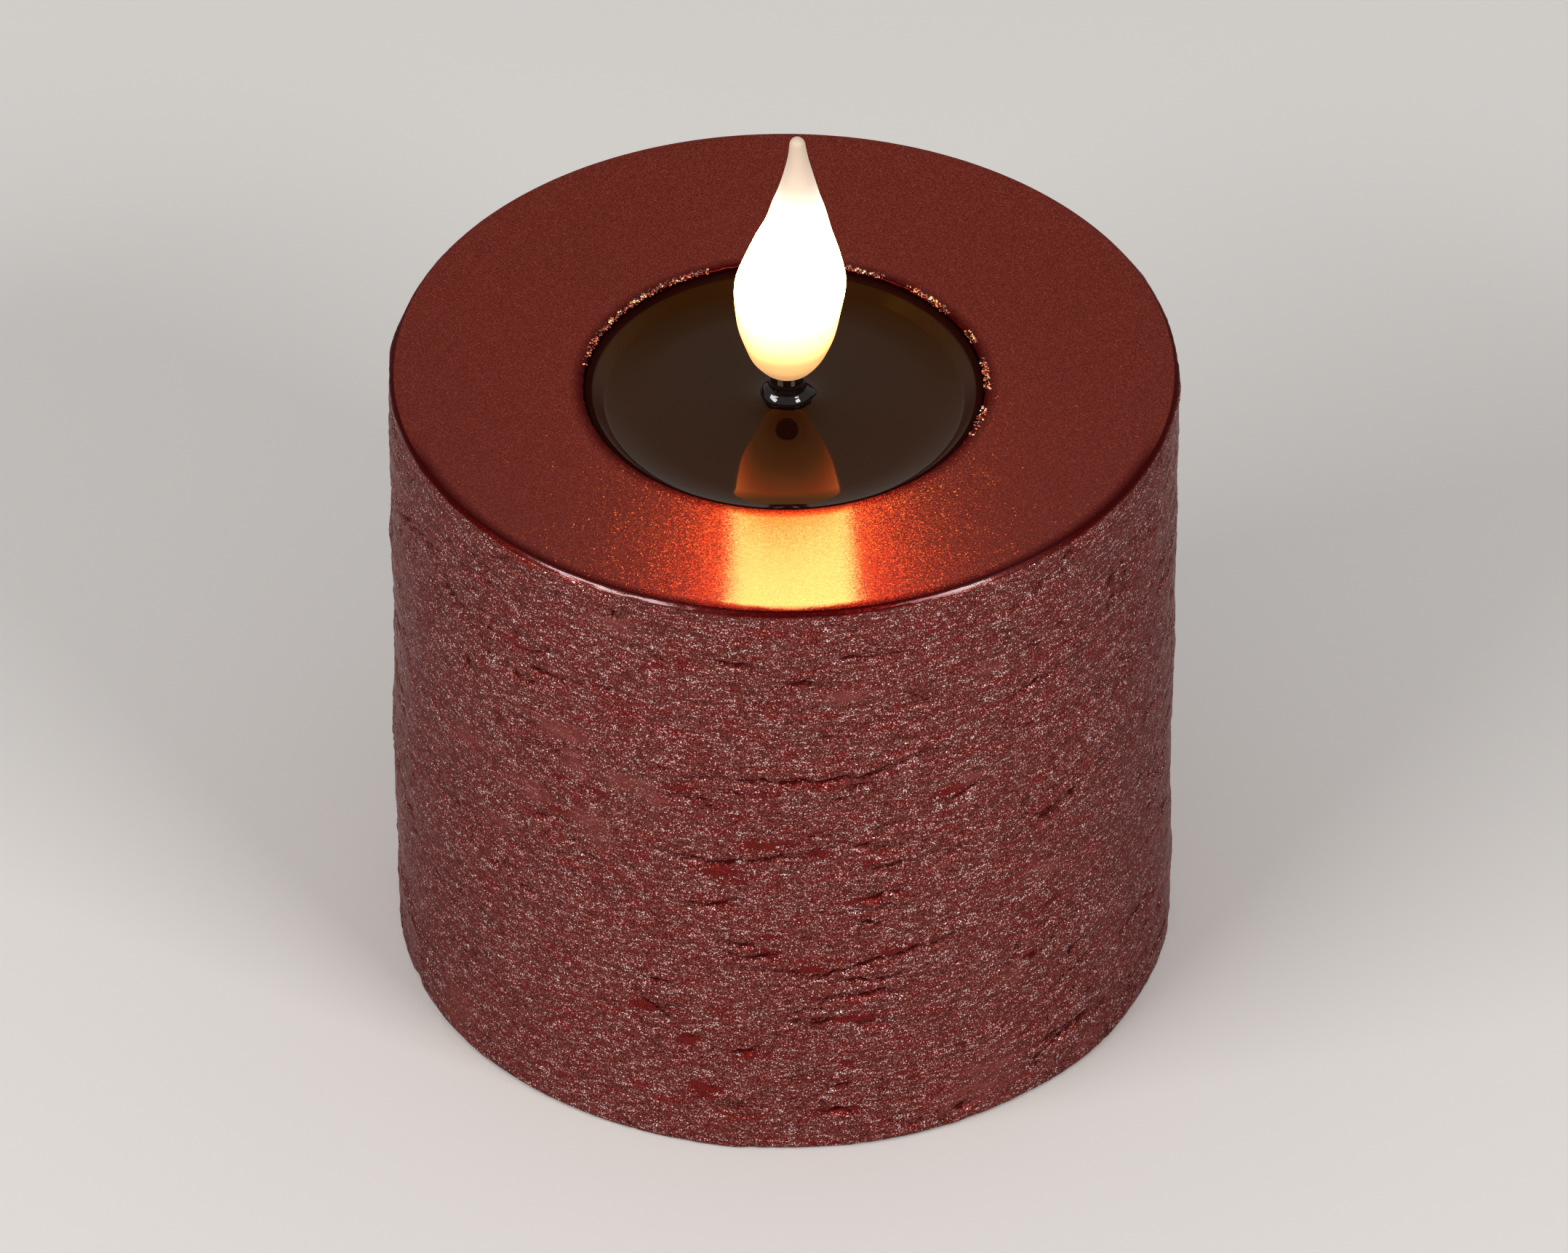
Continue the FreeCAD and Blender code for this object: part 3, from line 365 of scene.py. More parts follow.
    # What a grain mirrors goes by chance and is painted into its colour as a painted reflection or glint,
    # and bands of like grains run round the side
    bands = add(tree, "ShaderNodeTexNoise", {"Vector": drawn, "Scale": 1 / (0.35 * MM), "Detail": 3.0,
                                             "Roughness": 0.65}).outputs["Fac"]
    draws = add(tree, "ShaderNodeTexWhiteNoise", {"Vector": grain["Position"]}).outputs
    drift = add(tree, "ShaderNodeMath", {0: bands, 1: 0.8, 2: -0.36}, operation="MULTIPLY_ADD").outputs[0]
    chance = add(tree, "ShaderNodeMath", {0: draws["Value"], 1: 0.92, 2: drift},
                 operation="MULTIPLY_ADD").outputs[0]
    grey = add(tree, "ShaderNodeValToRGB", {"Fac": chance}, stops=(
        (0.0, "1E0504"), (0.14, "42110B"), (0.48, "6E2D26"), (0.80, "904B43"), (0.885, "B6746C"),
        (0.945, "F8C4BE"), (0.98, "FFFFFF"))).outputs["Color"]
    calm = add(tree, "ShaderNodeMath", {0: clean, 1: -0.3, 2: 1.0}, operation="MULTIPLY_ADD").outputs[0]
    calm = add(tree, "ShaderNodeMath", {0: chance, 1: calm}, operation="MULTIPLY").outputs[0]
    # Red grains too run up to painted glints of pink
    red = add(tree, "ShaderNodeValToRGB", {"Fac": calm}, stops=(
        (0.0, "340503"), (0.12, "560A06"), (0.5, "801812"), (0.8, "A42B22"), (0.92, "DA5A4E"),
        (1.0, "FFA69E"))).outputs["Color"]
    # Some grains are red everywhere, and nearly all of them are in a clean place
    hue = add(tree, "ShaderNodeSeparateXYZ", {0: draws["Color"]}).outputs["X"]
    reds = add(tree, "ShaderNodeMath", {0: uneven, 1: 2.6, 2: -0.84}, operation="MULTIPLY_ADD").outputs[0]
    reds = add(tree, "ShaderNodeMath", {0: reds, 1: clean}, operation="MAXIMUM").outputs[0]
    is_red = add(tree, "ShaderNodeMath", {0: hue, 1: reds}, operation="LESS_THAN").outputs[0]
    torn = add(tree, "ShaderNodeMix", {0: is_red, COLOUR_A: grey, COLOUR_B: red},
               data_type="RGBA").outputs[COLOUR_OUT]
    torn = add(tree, "ShaderNodeMix", {0: dusty, COLOUR_A: torn, COLOUR_B: settings.paint_rubbed},
               data_type="RGBA").outputs[COLOUR_OUT]
    # Flakes that shine take the lighter paint and dull ones the darker, as painted sparkle and shade, and
    # the brightest few a painted pale highlight
    level = add(tree, "ShaderNodeMix", {0: shine, COLOUR_A: settings.painted_flake_shade, COLOUR_B: settings.paint},
                data_type="RGBA").outputs[COLOUR_OUT]
    painted_flake_highlight = add(tree, "ShaderNodeMapRange", {"Value": shine, "From Min": 0.86, "From Max": 1.0,
                                              "To Max": 0.22}).outputs[0]
    level = add(tree, "ShaderNodeMix", {0: painted_flake_highlight, COLOUR_A: level, COLOUR_B: hex_colour("E59C88")},
                data_type="RGBA").outputs[COLOUR_OUT]
    tone = add(tree, "ShaderNodeMix", {0: rough, COLOUR_A: level, COLOUR_B: torn}, data_type="RGBA")
    # Creases and the dark bands of the rim and the pool's edge take the crease colour: painted shade
    tone = add(tree, "ShaderNodeMix", {0: crease, COLOUR_A: tone.outputs[COLOUR_OUT],
                                       COLOUR_B: settings.paint_crease_shade}, data_type="RGBA")
    roughness = add(tree, "ShaderNodeMix", {0: clean, FLOAT_A: 0.24, FLOAT_B: 0.42}).outputs[FLOAT_OUT]
    roughness = add(tree, "ShaderNodeMix", {0: rough, FLOAT_A: 0.34, FLOAT_B: roughness}).outputs[FLOAT_OUT]
    coat = add(tree, "ShaderNodeMix", {0: rough, FLOAT_A: 0.38, FLOAT_B: 0.25}).outputs[FLOAT_OUT]
    coat = add(tree, "ShaderNodeMix", {0: crease, FLOAT_A: coat, FLOAT_B: 0.08}).outputs[FLOAT_OUT]
    coat = add(tree, "ShaderNodeMath", {0: coat, 1: polished}, operation="MAXIMUM").outputs[0]
    return add(tree, "ShaderNodeBsdfPrincipled", {
        "Base Color": tone.outputs[COLOUR_OUT], "Metallic": 0.92, "Roughness": roughness, "Normal": tilted,
        "Specular Tint": hex_colour("B07A76"), "Coat Weight": coat, "Coat Roughness": 0.12,
        "Coat Normal": coat_normal})


def paint_crumbs(tree):
    """Crumbs of lacquer along a torn edge: each one its own red, and a few of them golden or pale as
    painted glints, with a wet shine.
    """
    place = add(tree, "ShaderNodeTexCoord").outputs["Object"]
    chip = add(tree, "ShaderNodeTexVoronoi", {"Vector": place, "Scale": 1 / (0.3 * MM)}).outputs["Position"]
    chance = add(tree, "ShaderNodeTexWhiteNoise", {"Vector": chip}).outputs["Value"]
    # The golden and pale crumbs are painted glints
    tone = add(tree, "ShaderNodeValToRGB", {"Fac": chance}, stops=(
        (0.0, "1E0302"), (0.4, "5C100B"), (0.68, "A83224"), (0.86, "E09060"),
        (1.0, "FFF0E0"))).outputs["Color"]
    return add(tree, "ShaderNodeBsdfPrincipled", {"Base Color": tone, "Metallic": 0.7, "Roughness": 0.18,
                                                  "Coat Weight": 1.0, "Coat Roughness": 0.05})


def dyed_wax(tree, settings):
    """Paraffin wax cast with a red dye: dull, faintly translucent, with soft mottling."""
    place = add(tree, "ShaderNodeTexCoord").outputs["Object"]
    mottle = add(tree, "ShaderNodeTexNoise", {"Vector": place, "Scale": 1 / (5 * MM),
                                              "Detail": 4.0}).outputs["Fac"]
    pale = add(tree, "ShaderNodeMix", {0: mottle, COLOUR_A: settings.wax, COLOUR_B: hex_colour("8A2F2D")},
               data_type="RGBA").outputs[COLOUR_OUT]
    tooling = add(tree, "ShaderNodeTexNoise", {"Vector": place, "Scale": 1 / (0.8 * MM), "Detail": 3.0})
    bump = add(tree, "ShaderNodeBump", {"Height": tooling.outputs["Fac"], "Distance": 0.08 * MM})
    return add(tree, "ShaderNodeBsdfPrincipled", {
        "Base Color": pale, "Roughness": 0.55, "IOR": 1.44, "Subsurface Weight": 0.25,
        "Subsurface Radius": (1.2, 0.3, 0.2), "Subsurface Scale": 1.0 * MM,
        "Normal": bump.outputs["Normal"]})


def melt_gloss(tree):
    """Dark brown polystyrene moulded against a polished tool: a nearly black mirror, whose brown shows
    in what it mirrors, with faint flow. Its walls at the left and the right are hazier, and its lip
    hardly shines."""
    place = add(tree, "ShaderNodeTexCoord").outputs["Object"]
    flow = add(tree, "ShaderNodeTexNoise", {"Vector": place, "Scale": 1 / (9 * MM),
                                            "Detail": 2.0}).outputs["Fac"]
    tone = add(tree, "ShaderNodeMix", {0: flow, COLOUR_A: hex_colour("160505"),
                                       COLOUR_B: hex_colour("190706")},
               data_type="RGBA").outputs[COLOUR_OUT]
    haze = add(tree, "ShaderNodeMapRange", {"Value": flow, "To Min": 0.035, "To Max": 0.07}).outputs[0]
    facing = add(tree, "ShaderNodeTexCoord").outputs["Normal"]
    sideways = add(tree, "ShaderNodeSeparateXYZ", {0: facing}).outputs["X"]
    sideways = add(tree, "ShaderNodeMath", {0: sideways}, operation="ABSOLUTE").outputs[0]
    dull = add(tree, "ShaderNodeMapRange", {"Value": sideways, "From Min": 0.35, "From Max": 0.6,
                                            "To Max": 0.25}).outputs[0]
    haze = add(tree, "ShaderNodeMath", {0: haze, 1: dull}, operation="ADD").outputs[0]
    height = add(tree, "ShaderNodeSeparateXYZ", {0: place}).outputs["Z"]
    shine = add(tree, "ShaderNodeMapRange", {"Value": height, "From Min": DISH_LIP - 0.4 * MM,
                                             "From Max": DISH_LIP - 0.2 * MM, "To Min": 0.5,
                                             "To Max": 0.0}).outputs[0]
    bump = add(tree, "ShaderNodeBump", {"Height": flow, "Distance": 0.02 * MM}).outputs["Normal"]
    return add(tree, "ShaderNodeBsdfPrincipled", {
        "Base Color": tone, "Roughness": haze, "Specular IOR Level": shine,
        "Specular Tint": hex_colour("FFB430"), "Normal": bump})


def melted_black(tree):
    """Black plastic that ran down the stem and set: glossy, with small dents."""
    place = add(tree, "ShaderNodeTexCoord").outputs["Object"]
    dents = add(tree, "ShaderNodeTexNoise", {"Vector": place, "Scale": 1 / (0.9 * MM),
                                             "Detail": 2.0}).outputs["Fac"]
    tone = add(tree, "ShaderNodeMix", {0: dents, COLOUR_A: hex_colour("0B0807"),
                                       COLOUR_B: hex_colour("1A0E0B")},
               data_type="RGBA").outputs[COLOUR_OUT]
    bump = add(tree, "ShaderNodeBump", {"Height": dents, "Distance": 0.02 * MM}).outputs["Normal"]
    return add(tree, "ShaderNodeBsdfPrincipled", {"Base Color": tone, "Roughness": 0.05, "Normal": bump})


def lit_silicone(tree, settings):
    """Milky silicone lit from inside: brightest beside the lamp, peach at its foot, and at its thin
    tip only faintly lit, so that its own milky colour shows."""
    place = add(tree, "ShaderNodeTexCoord").outputs["Object"]
    height = add(tree, "ShaderNodeSeparateXYZ", {0: place}).outputs["Z"]
    share = add(tree, "ShaderNodeMapRange", {"Value": height, "From Min": FLAME_LOW,
                                             "From Max": FLAME_HIGH}).outputs[0]
    # How much light comes out at each height: the square of this grey is its share of the full glow
    lit = add(tree, "ShaderNodeValToRGB", {"Fac": share}, stops=(
        (0.0, "636363"), (0.04, "676767"), (0.07, "767676"), (0.10, "878787"), (0.17, "A3A3A3"),
        (0.24, "B6B6B6"), (0.28, "CCCCCC"), (0.31, "EAEAEA"), (0.34, "FFFFFF"), (0.645, "FFFFFF"),
        (0.68, "9B9B9B"), (0.75, "6D6D6D"), (0.82, "535353"), (0.90, "3D3D3D"),
        (0.98, "181818"))).outputs["Color"]
    lit = add(tree, "ShaderNodeMath", {0: lit, 1: 2.0}, operation="POWER").outputs[0]
    power = add(tree, "ShaderNodeMath", {0: lit, 1: settings.glow}, operation="MULTIPLY").outputs[0]
    hue = add(tree, "ShaderNodeValToRGB", {"Fac": share}, stops=(
        (0.0, "FFC07C"), (0.04, "FFB85A"), (0.07, "FF9B40"), (0.10, "FF823C"), (0.17, "FF8A48"),
        (0.21, "FFA650"), (0.28, "FFCE48"), (0.33, "FFE47C"), (0.645, "FFE47C"), (0.74, "FFF0DC"),
        (1.0, "FFE6D6")))
    skin = add(tree, "ShaderNodeTexNoise", {"Vector": place, "Scale": 1 / (1.6 * MM),
                                            "Detail": 3.0}).outputs["Fac"]
    bump = add(tree, "ShaderNodeBump", {"Height": skin, "Distance": 0.03 * MM}).outputs["Normal"]
    return add(tree, "ShaderNodeBsdfPrincipled", {
        "Base Color": settings.skin, "Roughness": 0.42, "IOR": 1.41, "Normal": bump,
        "Emission Color": hue.outputs["Color"], "Emission Strength": power})


def moulded(tree, dark, light, roughness, texture):
    """Plastic moulded in a spark-eroded tool: one colour with faint flow, and an even fine texture."""
    place = add(tree, "ShaderNodeTexCoord").outputs["Object"]
    flow = add(tree, "ShaderNodeTexNoise", {"Vector": place, "Scale": 1 / (14 * MM),
                                            "Detail": 3.0}).outputs["Fac"]
    tone = add(tree, "ShaderNodeMix", {0: flow, COLOUR_A: hex_colour(dark), COLOUR_B: hex_colour(light)},
               data_type="RGBA").outputs[COLOUR_OUT]
    grit = add(tree, "ShaderNodeTexNoise", {"Vector": place, "Scale": 1 / texture,
                                            "Detail": 2.0}).outputs["Fac"]
    gloss = add(tree, "ShaderNodeMapRange", {"Value": grit, "To Min": roughness - 0.08,
                                             "To Max": roughness + 0.08}).outputs[0]
    bump = add(tree, "ShaderNodeBump", {"Height": grit, "Distance": texture / 6}).outputs["Normal"]
    return add(tree, "ShaderNodeBsdfPrincipled", {"Base Color": tone, "Roughness": gloss, "IOR": 1.53,
                                                  "Normal": bump})


def plated(tree, dark, light, roughness, grain):
    """Plated or rolled metal: streaked along X where it was drawn or rolled, with light tarnish."""
    place = add(tree, "ShaderNodeTexCoord").outputs["Object"]
    drawn = add(tree, "ShaderNodeVectorMath", {0: place, 1: (0.15, 1.0, 1.0)},
                operation="MULTIPLY").outputs[0]
    streaks = add(tree, "ShaderNodeTexNoise", {"Vector": drawn, "Scale": 1 / grain,
                                               "Detail": 4.0}).outputs["Fac"]
    tone = add(tree, "ShaderNodeMix", {0: streaks, COLOUR_A: hex_colour(dark), COLOUR_B: hex_colour(light)},
               data_type="RGBA").outputs[COLOUR_OUT]
    gloss = add(tree, "ShaderNodeMapRange", {"Value": streaks, "To Min": roughness - 0.1,
                                             "To Max": roughness + 0.1}).outputs[0]
    bump = add(tree, "ShaderNodeBump", {"Height": streaks, "Distance": 0.01 * MM}).outputs["Normal"]
    return add(tree, "ShaderNodeBsdfPrincipled", {"Base Color": tone, "Metallic": 1.0, "Roughness": gloss,
                                                  "Normal": bump})


def cell_sleeve(tree, low, high, positive):
    """A shrink-wrapped zinc carbon cell: a printed sleeve in two colours between bare steel ends."""
    place = add(tree, "ShaderNodeTexCoord").outputs["Object"]
    along = add(tree, "ShaderNodeSeparateXYZ", {0: place}).outputs["X"]
    start, end = (low, high) if positive else (high, low)
    share = add(tree, "ShaderNodeMapRange", {"Value": along, "From Min": start, "From Max": end}).outputs[0]
    print_area = add(tree, "ShaderNodeValToRGB", {"Fac": share}, stepped=True, stops=(
        (0.0, "B9BBBD"), (0.02, "24465F"), (0.60, "D7D9DB"), (0.62, "A8231F"), (0.66, "D7D9DB"),
        (0.68, "C9CBCD"), (0.955, "B9BBBD")))
    scuffs = add(tree, "ShaderNodeTexNoise", {"Vector": place, "Scale": 1 / (2.5 * MM),
                                              "Detail": 5.0}).outputs["Fac"]
    gloss = add(tree, "ShaderNodeMapRange", {"Value": scuffs, "To Min": 0.2, "To Max": 0.42}).outputs[0]
    return add(tree, "ShaderNodeBsdfPrincipled", {"Base Color": print_area.outputs["Color"],
                                                  "Metallic": 0.55, "Roughness": gloss})


def laminate(tree):
    """Paper phenolic board under a green solder resist, with the paper's speckle."""
    place = add(tree, "ShaderNodeTexCoord").outputs["Object"]
    speckle = add(tree, "ShaderNodeTexNoise", {"Vector": place, "Scale": 1 / (0.7 * MM),
                                               "Detail": 4.0}).outputs["Fac"]
    tone = add(tree, "ShaderNodeMix", {0: speckle, COLOUR_A: hex_colour("1F5A34"),
                                       COLOUR_B: hex_colour("34774A")},
               data_type="RGBA").outputs[COLOUR_OUT]
    return add(tree, "ShaderNodeBsdfPrincipled", {"Base Color": tone, "Roughness": 0.36})


def resistor_bands(tree, low, high):
    """A carbon film resistor: beige lacquer with four painted bands."""
    place = add(tree, "ShaderNodeTexCoord").outputs["Object"]
    along = add(tree, "ShaderNodeSeparateXYZ", {0: place}).outputs["X"]
    share = add(tree, "ShaderNodeMapRange", {"Value": along, "From Min": low, "From Max": high}).outputs[0]
    ramp = add(tree, "ShaderNodeValToRGB", {"Fac": share}, stepped=True, stops=(
        (0.0, "B9B4A8"), (0.16, "C9AE84"), (0.28, "A33B22"), (0.34, "C9AE84"), (0.42, "A33B22"),
        (0.48, "C9AE84"), (0.56, "5A3318"), (0.62, "C9AE84"), (0.72, "B08A2E"), (0.78, "C9AE84"),
        (0.85, "B9B4A8")))
    gloss = add(tree, "ShaderNodeTexNoise", {"Vector": place, "Scale": 1 / (0.6 * MM)}).outputs["Fac"]
    gloss = add(tree, "ShaderNodeMapRange", {"Value": gloss, "To Min": 0.22, "To Max": 0.34}).outputs[0]
    return add(tree, "ShaderNodeBsdfPrincipled", {"Base Color": ramp.outputs["Color"], "Roughness": gloss})


def led_epoxy(tree):
    """Water-clear epoxy round a lamp: faintly warm, with a few small bubbles."""
    place = add(tree, "ShaderNodeTexCoord").outputs["Object"]
    bubbles = add(tree, "ShaderNodeTexNoise", {"Vector": place, "Scale": 1 / (0.8 * MM)}).outputs["Fac"]
    gloss = add(tree, "ShaderNodeMapRange", {"Value": bubbles, "To Min": 0.06, "To Max": 0.16}).outputs[0]
    return add(tree, "ShaderNodeBsdfPrincipled", {"Base Color": hex_colour("F4E3C3"), "Roughness": gloss,
                                                  "IOR": 1.5})


def arc(centre, radius, start, end, steps):
    """Points of an outline on an arc, from one angle in degrees to another."""
    return [(centre[0] + radius * math.cos(a), centre[1] + radius * math.sin(a))
            for a in np.radians(np.linspace(start, end, steps + 1))]


def run(a, b, steps):
    """Evenly spaced points of an outline from one point to another, without the last."""
    return [(a[0] + (b[0] - a[0]) * k / steps, a[1] + (b[1] - a[1]) * k / steps) for k in range(steps)]


def smooth_share(value, low, high):
    """0 at or below low and 1 at or above high, with a smooth climb between them."""
    share = np.clip((value - low) / (high - low), 0, 1)
    return share * share * (3 - 2 * share)


def points_of(mesh):
    """The places of a mesh's points, one row for each."""
    places = np.empty(len(mesh.vertices) * 3)
    mesh.vertices.foreach_get("co", places)
    return places.reshape(-1, 3)


def put_points(mesh, places):
    """Moves a mesh's points to those places."""
    mesh.vertices.foreach_set("co", np.asarray(places, dtype=float).ravel())
    mesh.update()


def face_outwards(mesh, sharp_degrees):
    """Points every face outwards and shades the mesh smooth up to that angle."""
    work = bmesh.new()
    work.from_mesh(mesh)
    bmesh.ops.remove_doubles(work, verts=work.verts, dist=0.0005 * MM)
    bmesh.ops.recalc_face_normals(work, faces=work.faces)
    work.to_mesh(mesh)
    work.free()
    mesh.shade_smooth()
    mesh.set_sharp_from_angle(angle=math.radians(sharp_degrees))


def turned(name, outline, columns, sharp_degrees=35):
    """A closed piece turned from an outline of (radius, height). An outline that starts and ends on
    the axis has its poles closed by single points; any other is a closed ring."""
    outline = np.array(outline)
    poles = outline[0][0] == 0
    rows = outline[1:-1] if poles else outline
    turn = np.linspace(0, 2 * math.pi, columns, endpoint=False)
    places = np.empty((len(rows), columns, 3))
    places[:, :, 0] = rows[:, 0:1] * np.cos(turn)
    places[:, :, 1] = rows[:, 0:1] * np.sin(turn)
    places[:, :, 2] = rows[:, 1:2]
    vertices = places.reshape(-1, 3).tolist()
    index = np.arange(len(rows) * columns).reshape(len(rows), columns)
    low = index[:-1] if poles else index
    high = index[1:] if poles else np.roll(index, -1, axis=0)
    quads = np.stack([low, np.roll(low, -1, axis=1), np.roll(high, -1, axis=1), high], axis=-1)
    faces = quads.reshape(-1, 4).tolist()
    if poles:
        for point, ring in ((outline[0], index[0]), (outline[-1], index[-1])):
            vertices.append((0, 0, point[1]))
            pole = len(vertices) - 1
            faces += [[ring[k], ring[(k + 1) % columns], pole] for k in range(columns)]
    mesh = bpy.data.meshes.new(name)
    mesh.from_pydata(vertices, [], faces)
    face_outwards(mesh, sharp_degrees)
    piece = bpy.data.objects.new(name, mesh)
    bpy.context.scene.collection.objects.link(piece)
    return piece


def towards_stem(places, inner, outer):
    """Moves points that lie near the axis over to the stem, which stands off the centre."""
    reach = np.hypot(places[:, 0], places[:, 1])
    places[:, 0] += STEM_X * (1 - smooth_share(reach, inner, outer))
    return places


def paint_attribute(mesh, name, values):
    """Keeps one number for each point of a mesh under a name, for its trees to read."""
    layer = mesh.attributes.new(name, "FLOAT", "POINT")
    layer.data.foreach_set("value", np.asarray(values, dtype=np.float32))


def geometry_tree(name, sizes, materials):
    """An empty geometry tree with inputs for its sizes and materials; returns it and its input node."""
    tree = bpy.data.node_groups.new(name, "GeometryNodeTree")
    tree.interface.new_socket("Geometry", in_out="INPUT", socket_type="NodeSocketGeometry")
    tree.interface.new_socket("Geometry", in_out="OUTPUT", socket_type="NodeSocketGeometry")
    for label, value in sizes.items():
        kind = "NodeSocketInt" if isinstance(value, int) else "NodeSocketFloat"
        tree.interface.new_socket(label, in_out="INPUT", socket_type=kind).default_value = value
    for label in materials:
        tree.interface.new_socket(label, in_out="INPUT", socket_type="NodeSocketMaterial")
    return tree, add(tree, "NodeGroupInput")


def grow(piece, tree, values):
    """Runs a geometry tree on a piece and keeps the plain mesh that it makes."""
    modifier = piece.modifiers.new(tree.name, "NODES")
    modifier.node_group = tree
    for item in tree.interface.items_tree:
        if item.in_out == "INPUT" and item.name in values:
            modifier[item.identifier] = values[item.name]
    graph = bpy.context.evaluated_depsgraph_get()
    mesh = bpy.data.meshes.new_from_object(piece.evaluated_get(graph), preserve_all_data_layers=True,
                                           depsgraph=graph)
    piece.modifiers.clear()
    piece.data = mesh
    mesh.name = piece.name
    return piece


def worn_side_tree(sizes):
    """Presses waves, streaks, wrinkles, grain and pits into the side of the wax, along with the marks
    that each point carries, and keeps where the wrinkles lie for the paint to darken as painted shade."""
    tree, given = geometry_tree("Worn Side", sizes, ("Paint", "Wax"))
    size = given.outputs
    place = add(tree, "GeometryNodeInputPosition").outputs[0]
    rough, marks, coated, broken = (
        add(tree, "GeometryNodeInputNamedAttribute", {"Name": name}, data_type="FLOAT").outputs[0]
        for name in ("rough", "marks", "coated", "broken_edge"))
    flat = add(tree, "ShaderNodeVectorMath", {0: place, 1: (1, 1, 0)}, operation="MULTIPLY").outputs[0]
    outward = add(tree, "ShaderNodeVectorMath", {0: flat}, operation="NORMALIZE").outputs[0]
    shift = add(tree, "ShaderNodeCombineXYZ", {"X": size["Seed"], "Y": size["Seed"]}).outputs[0]

    def scaled(width, height):
        """The place in units of a pattern's width and height, moved by the seed."""
        step = add(tree, "ShaderNodeCombineXYZ", {"X": width, "Y": width, "Z": height}).outputs[0]
        unit = add(tree, "ShaderNodeVectorMath", {0: place, 1: step}, operation="DIVIDE").outputs[0]
        return add(tree, "ShaderNodeVectorMath", {0: unit, 1: shift}, operation="ADD").outputs[0]

    def centred(where, detail, depth):
        """Noise between minus and plus about half a depth."""
        noise = add(tree, "ShaderNodeTexNoise", {"Vector": where, "Scale": 1.0,
                                                 "Detail": detail}).outputs["Fac"]
        level = add(tree, "ShaderNodeMath", {0: noise, 1: 0.5}, operation="SUBTRACT").outputs[0]
        doubled = add(tree, "ShaderNodeMath", {0: level, 1: 4.0}, operation="MULTIPLY").outputs[0]
        return add(tree, "ShaderNodeMath", {0: doubled, 1: depth}, operation="MULTIPLY").outputs[0]

    streak_place = scaled(size["Streak Length"], size["Streak Height"])
    waves = centred(scaled(size["Wave Length"], size["Wave Length"]), 1.0, size["Wave Depth"])
    streaks = centred(streak_place, 3.0, size["Streak Depth"])
    grain = centred(scaled(size["Grain Size"], size["Grain Size"]), 2.0, size["Grain Depth"])
    total = add(tree, "ShaderNodeMath", {0: waves, 1: streaks}, operation="ADD").outputs[0]
    total = add(tree, "ShaderNodeMath", {0: total, 1: grain}, operation="ADD").outputs[0]
    # A wrinkle lies where a stretched noise crosses its middle value
    wander = add(tree, "ShaderNodeVectorMath", {0: streak_place, "Scale": 0.55},
                 operation="SCALE").outputs[0]
    ridge = add(tree, "ShaderNodeTexNoise", {"Vector": wander, "Scale": 1.0, "Detail": 1.5,
                                             "Distortion": 0.5})
    ridge = add(tree, "ShaderNodeMath", {0: ridge.outputs["Fac"], 1: 0.5}, operation="SUBTRACT").outputs[0]
    ridge = add(tree, "ShaderNodeMath", {0: ridge}, operation="ABSOLUTE").outputs[0]
    near = add(tree, "ShaderNodeMapRange", {"Value": ridge, "From Min": 0.0, "From Max": 0.035,
                                            "To Min": 1.0, "To Max": 0.0},
               interpolation_type="SMOOTHSTEP").outputs[0]
    spread = add(tree, "ShaderNodeTexNoise", {"Vector": scaled(size["Wave Length"], size["Streak Length"]),
                                              "Scale": 1.3, "Detail": 1.0}).outputs["Fac"]
    spread = add(tree, "ShaderNodeMapRange", {"Value": spread, "From Min": 0.46,
                                              "From Max": 0.56}).outputs[0]
    wrinkle = add(tree, "ShaderNodeMath", {0: near, 1: spread}, operation="MULTIPLY").outputs[0]
    pressed = add(tree, "ShaderNodeMath", {0: wrinkle, 1: size["Wrinkle Depth"]},
                  operation="MULTIPLY").outputs[0]
    total = add(tree, "ShaderNodeMath", {0: total, 1: pressed}, operation="SUBTRACT").outputs[0]
    # Pits lie at the centres of some of the cells
    cells = add(tree, "ShaderNodeTexVoronoi", {"Vector": scaled(size["Pit Spacing"], size["Pit Spacing"]),
                                               "Scale": 1.0}).outputs
    hollow = add(tree, "ShaderNodeMapRange", {"Value": cells["Distance"], "From Min": 0.08,
                                              "From Max": 0.26, "To Min": 1.0,
                                              "To Max": 0.0}).outputs[0]
    chosen = add(tree, "ShaderNodeSeparateXYZ", {0: cells["Color"]}).outputs["X"]
    chosen = add(tree, "ShaderNodeMath", {0: chosen, 1: 0.72}, operation="GREATER_THAN").outputs[0]
    hollow = add(tree, "ShaderNodeMath", {0: hollow, 1: chosen}, operation="MULTIPLY").outputs[0]
    pits = add(tree, "ShaderNodeMath", {0: hollow, 1: size["Pit Depth"]}, operation="MULTIPLY").outputs[0]
    total = add(tree, "ShaderNodeMath", {0: total, 1: pits}, operation="SUBTRACT").outputs[0]
    total = add(tree, "ShaderNodeMath", {0: total, 1: rough}, operation="MULTIPLY").outputs[0]
    total = add(tree, "ShaderNodeMath", {0: total, 1: marks}, operation="ADD").outputs[0]
    offset = add(tree, "ShaderNodeVectorMath", {0: outward, "Scale": total}, operation="SCALE").outputs[0]
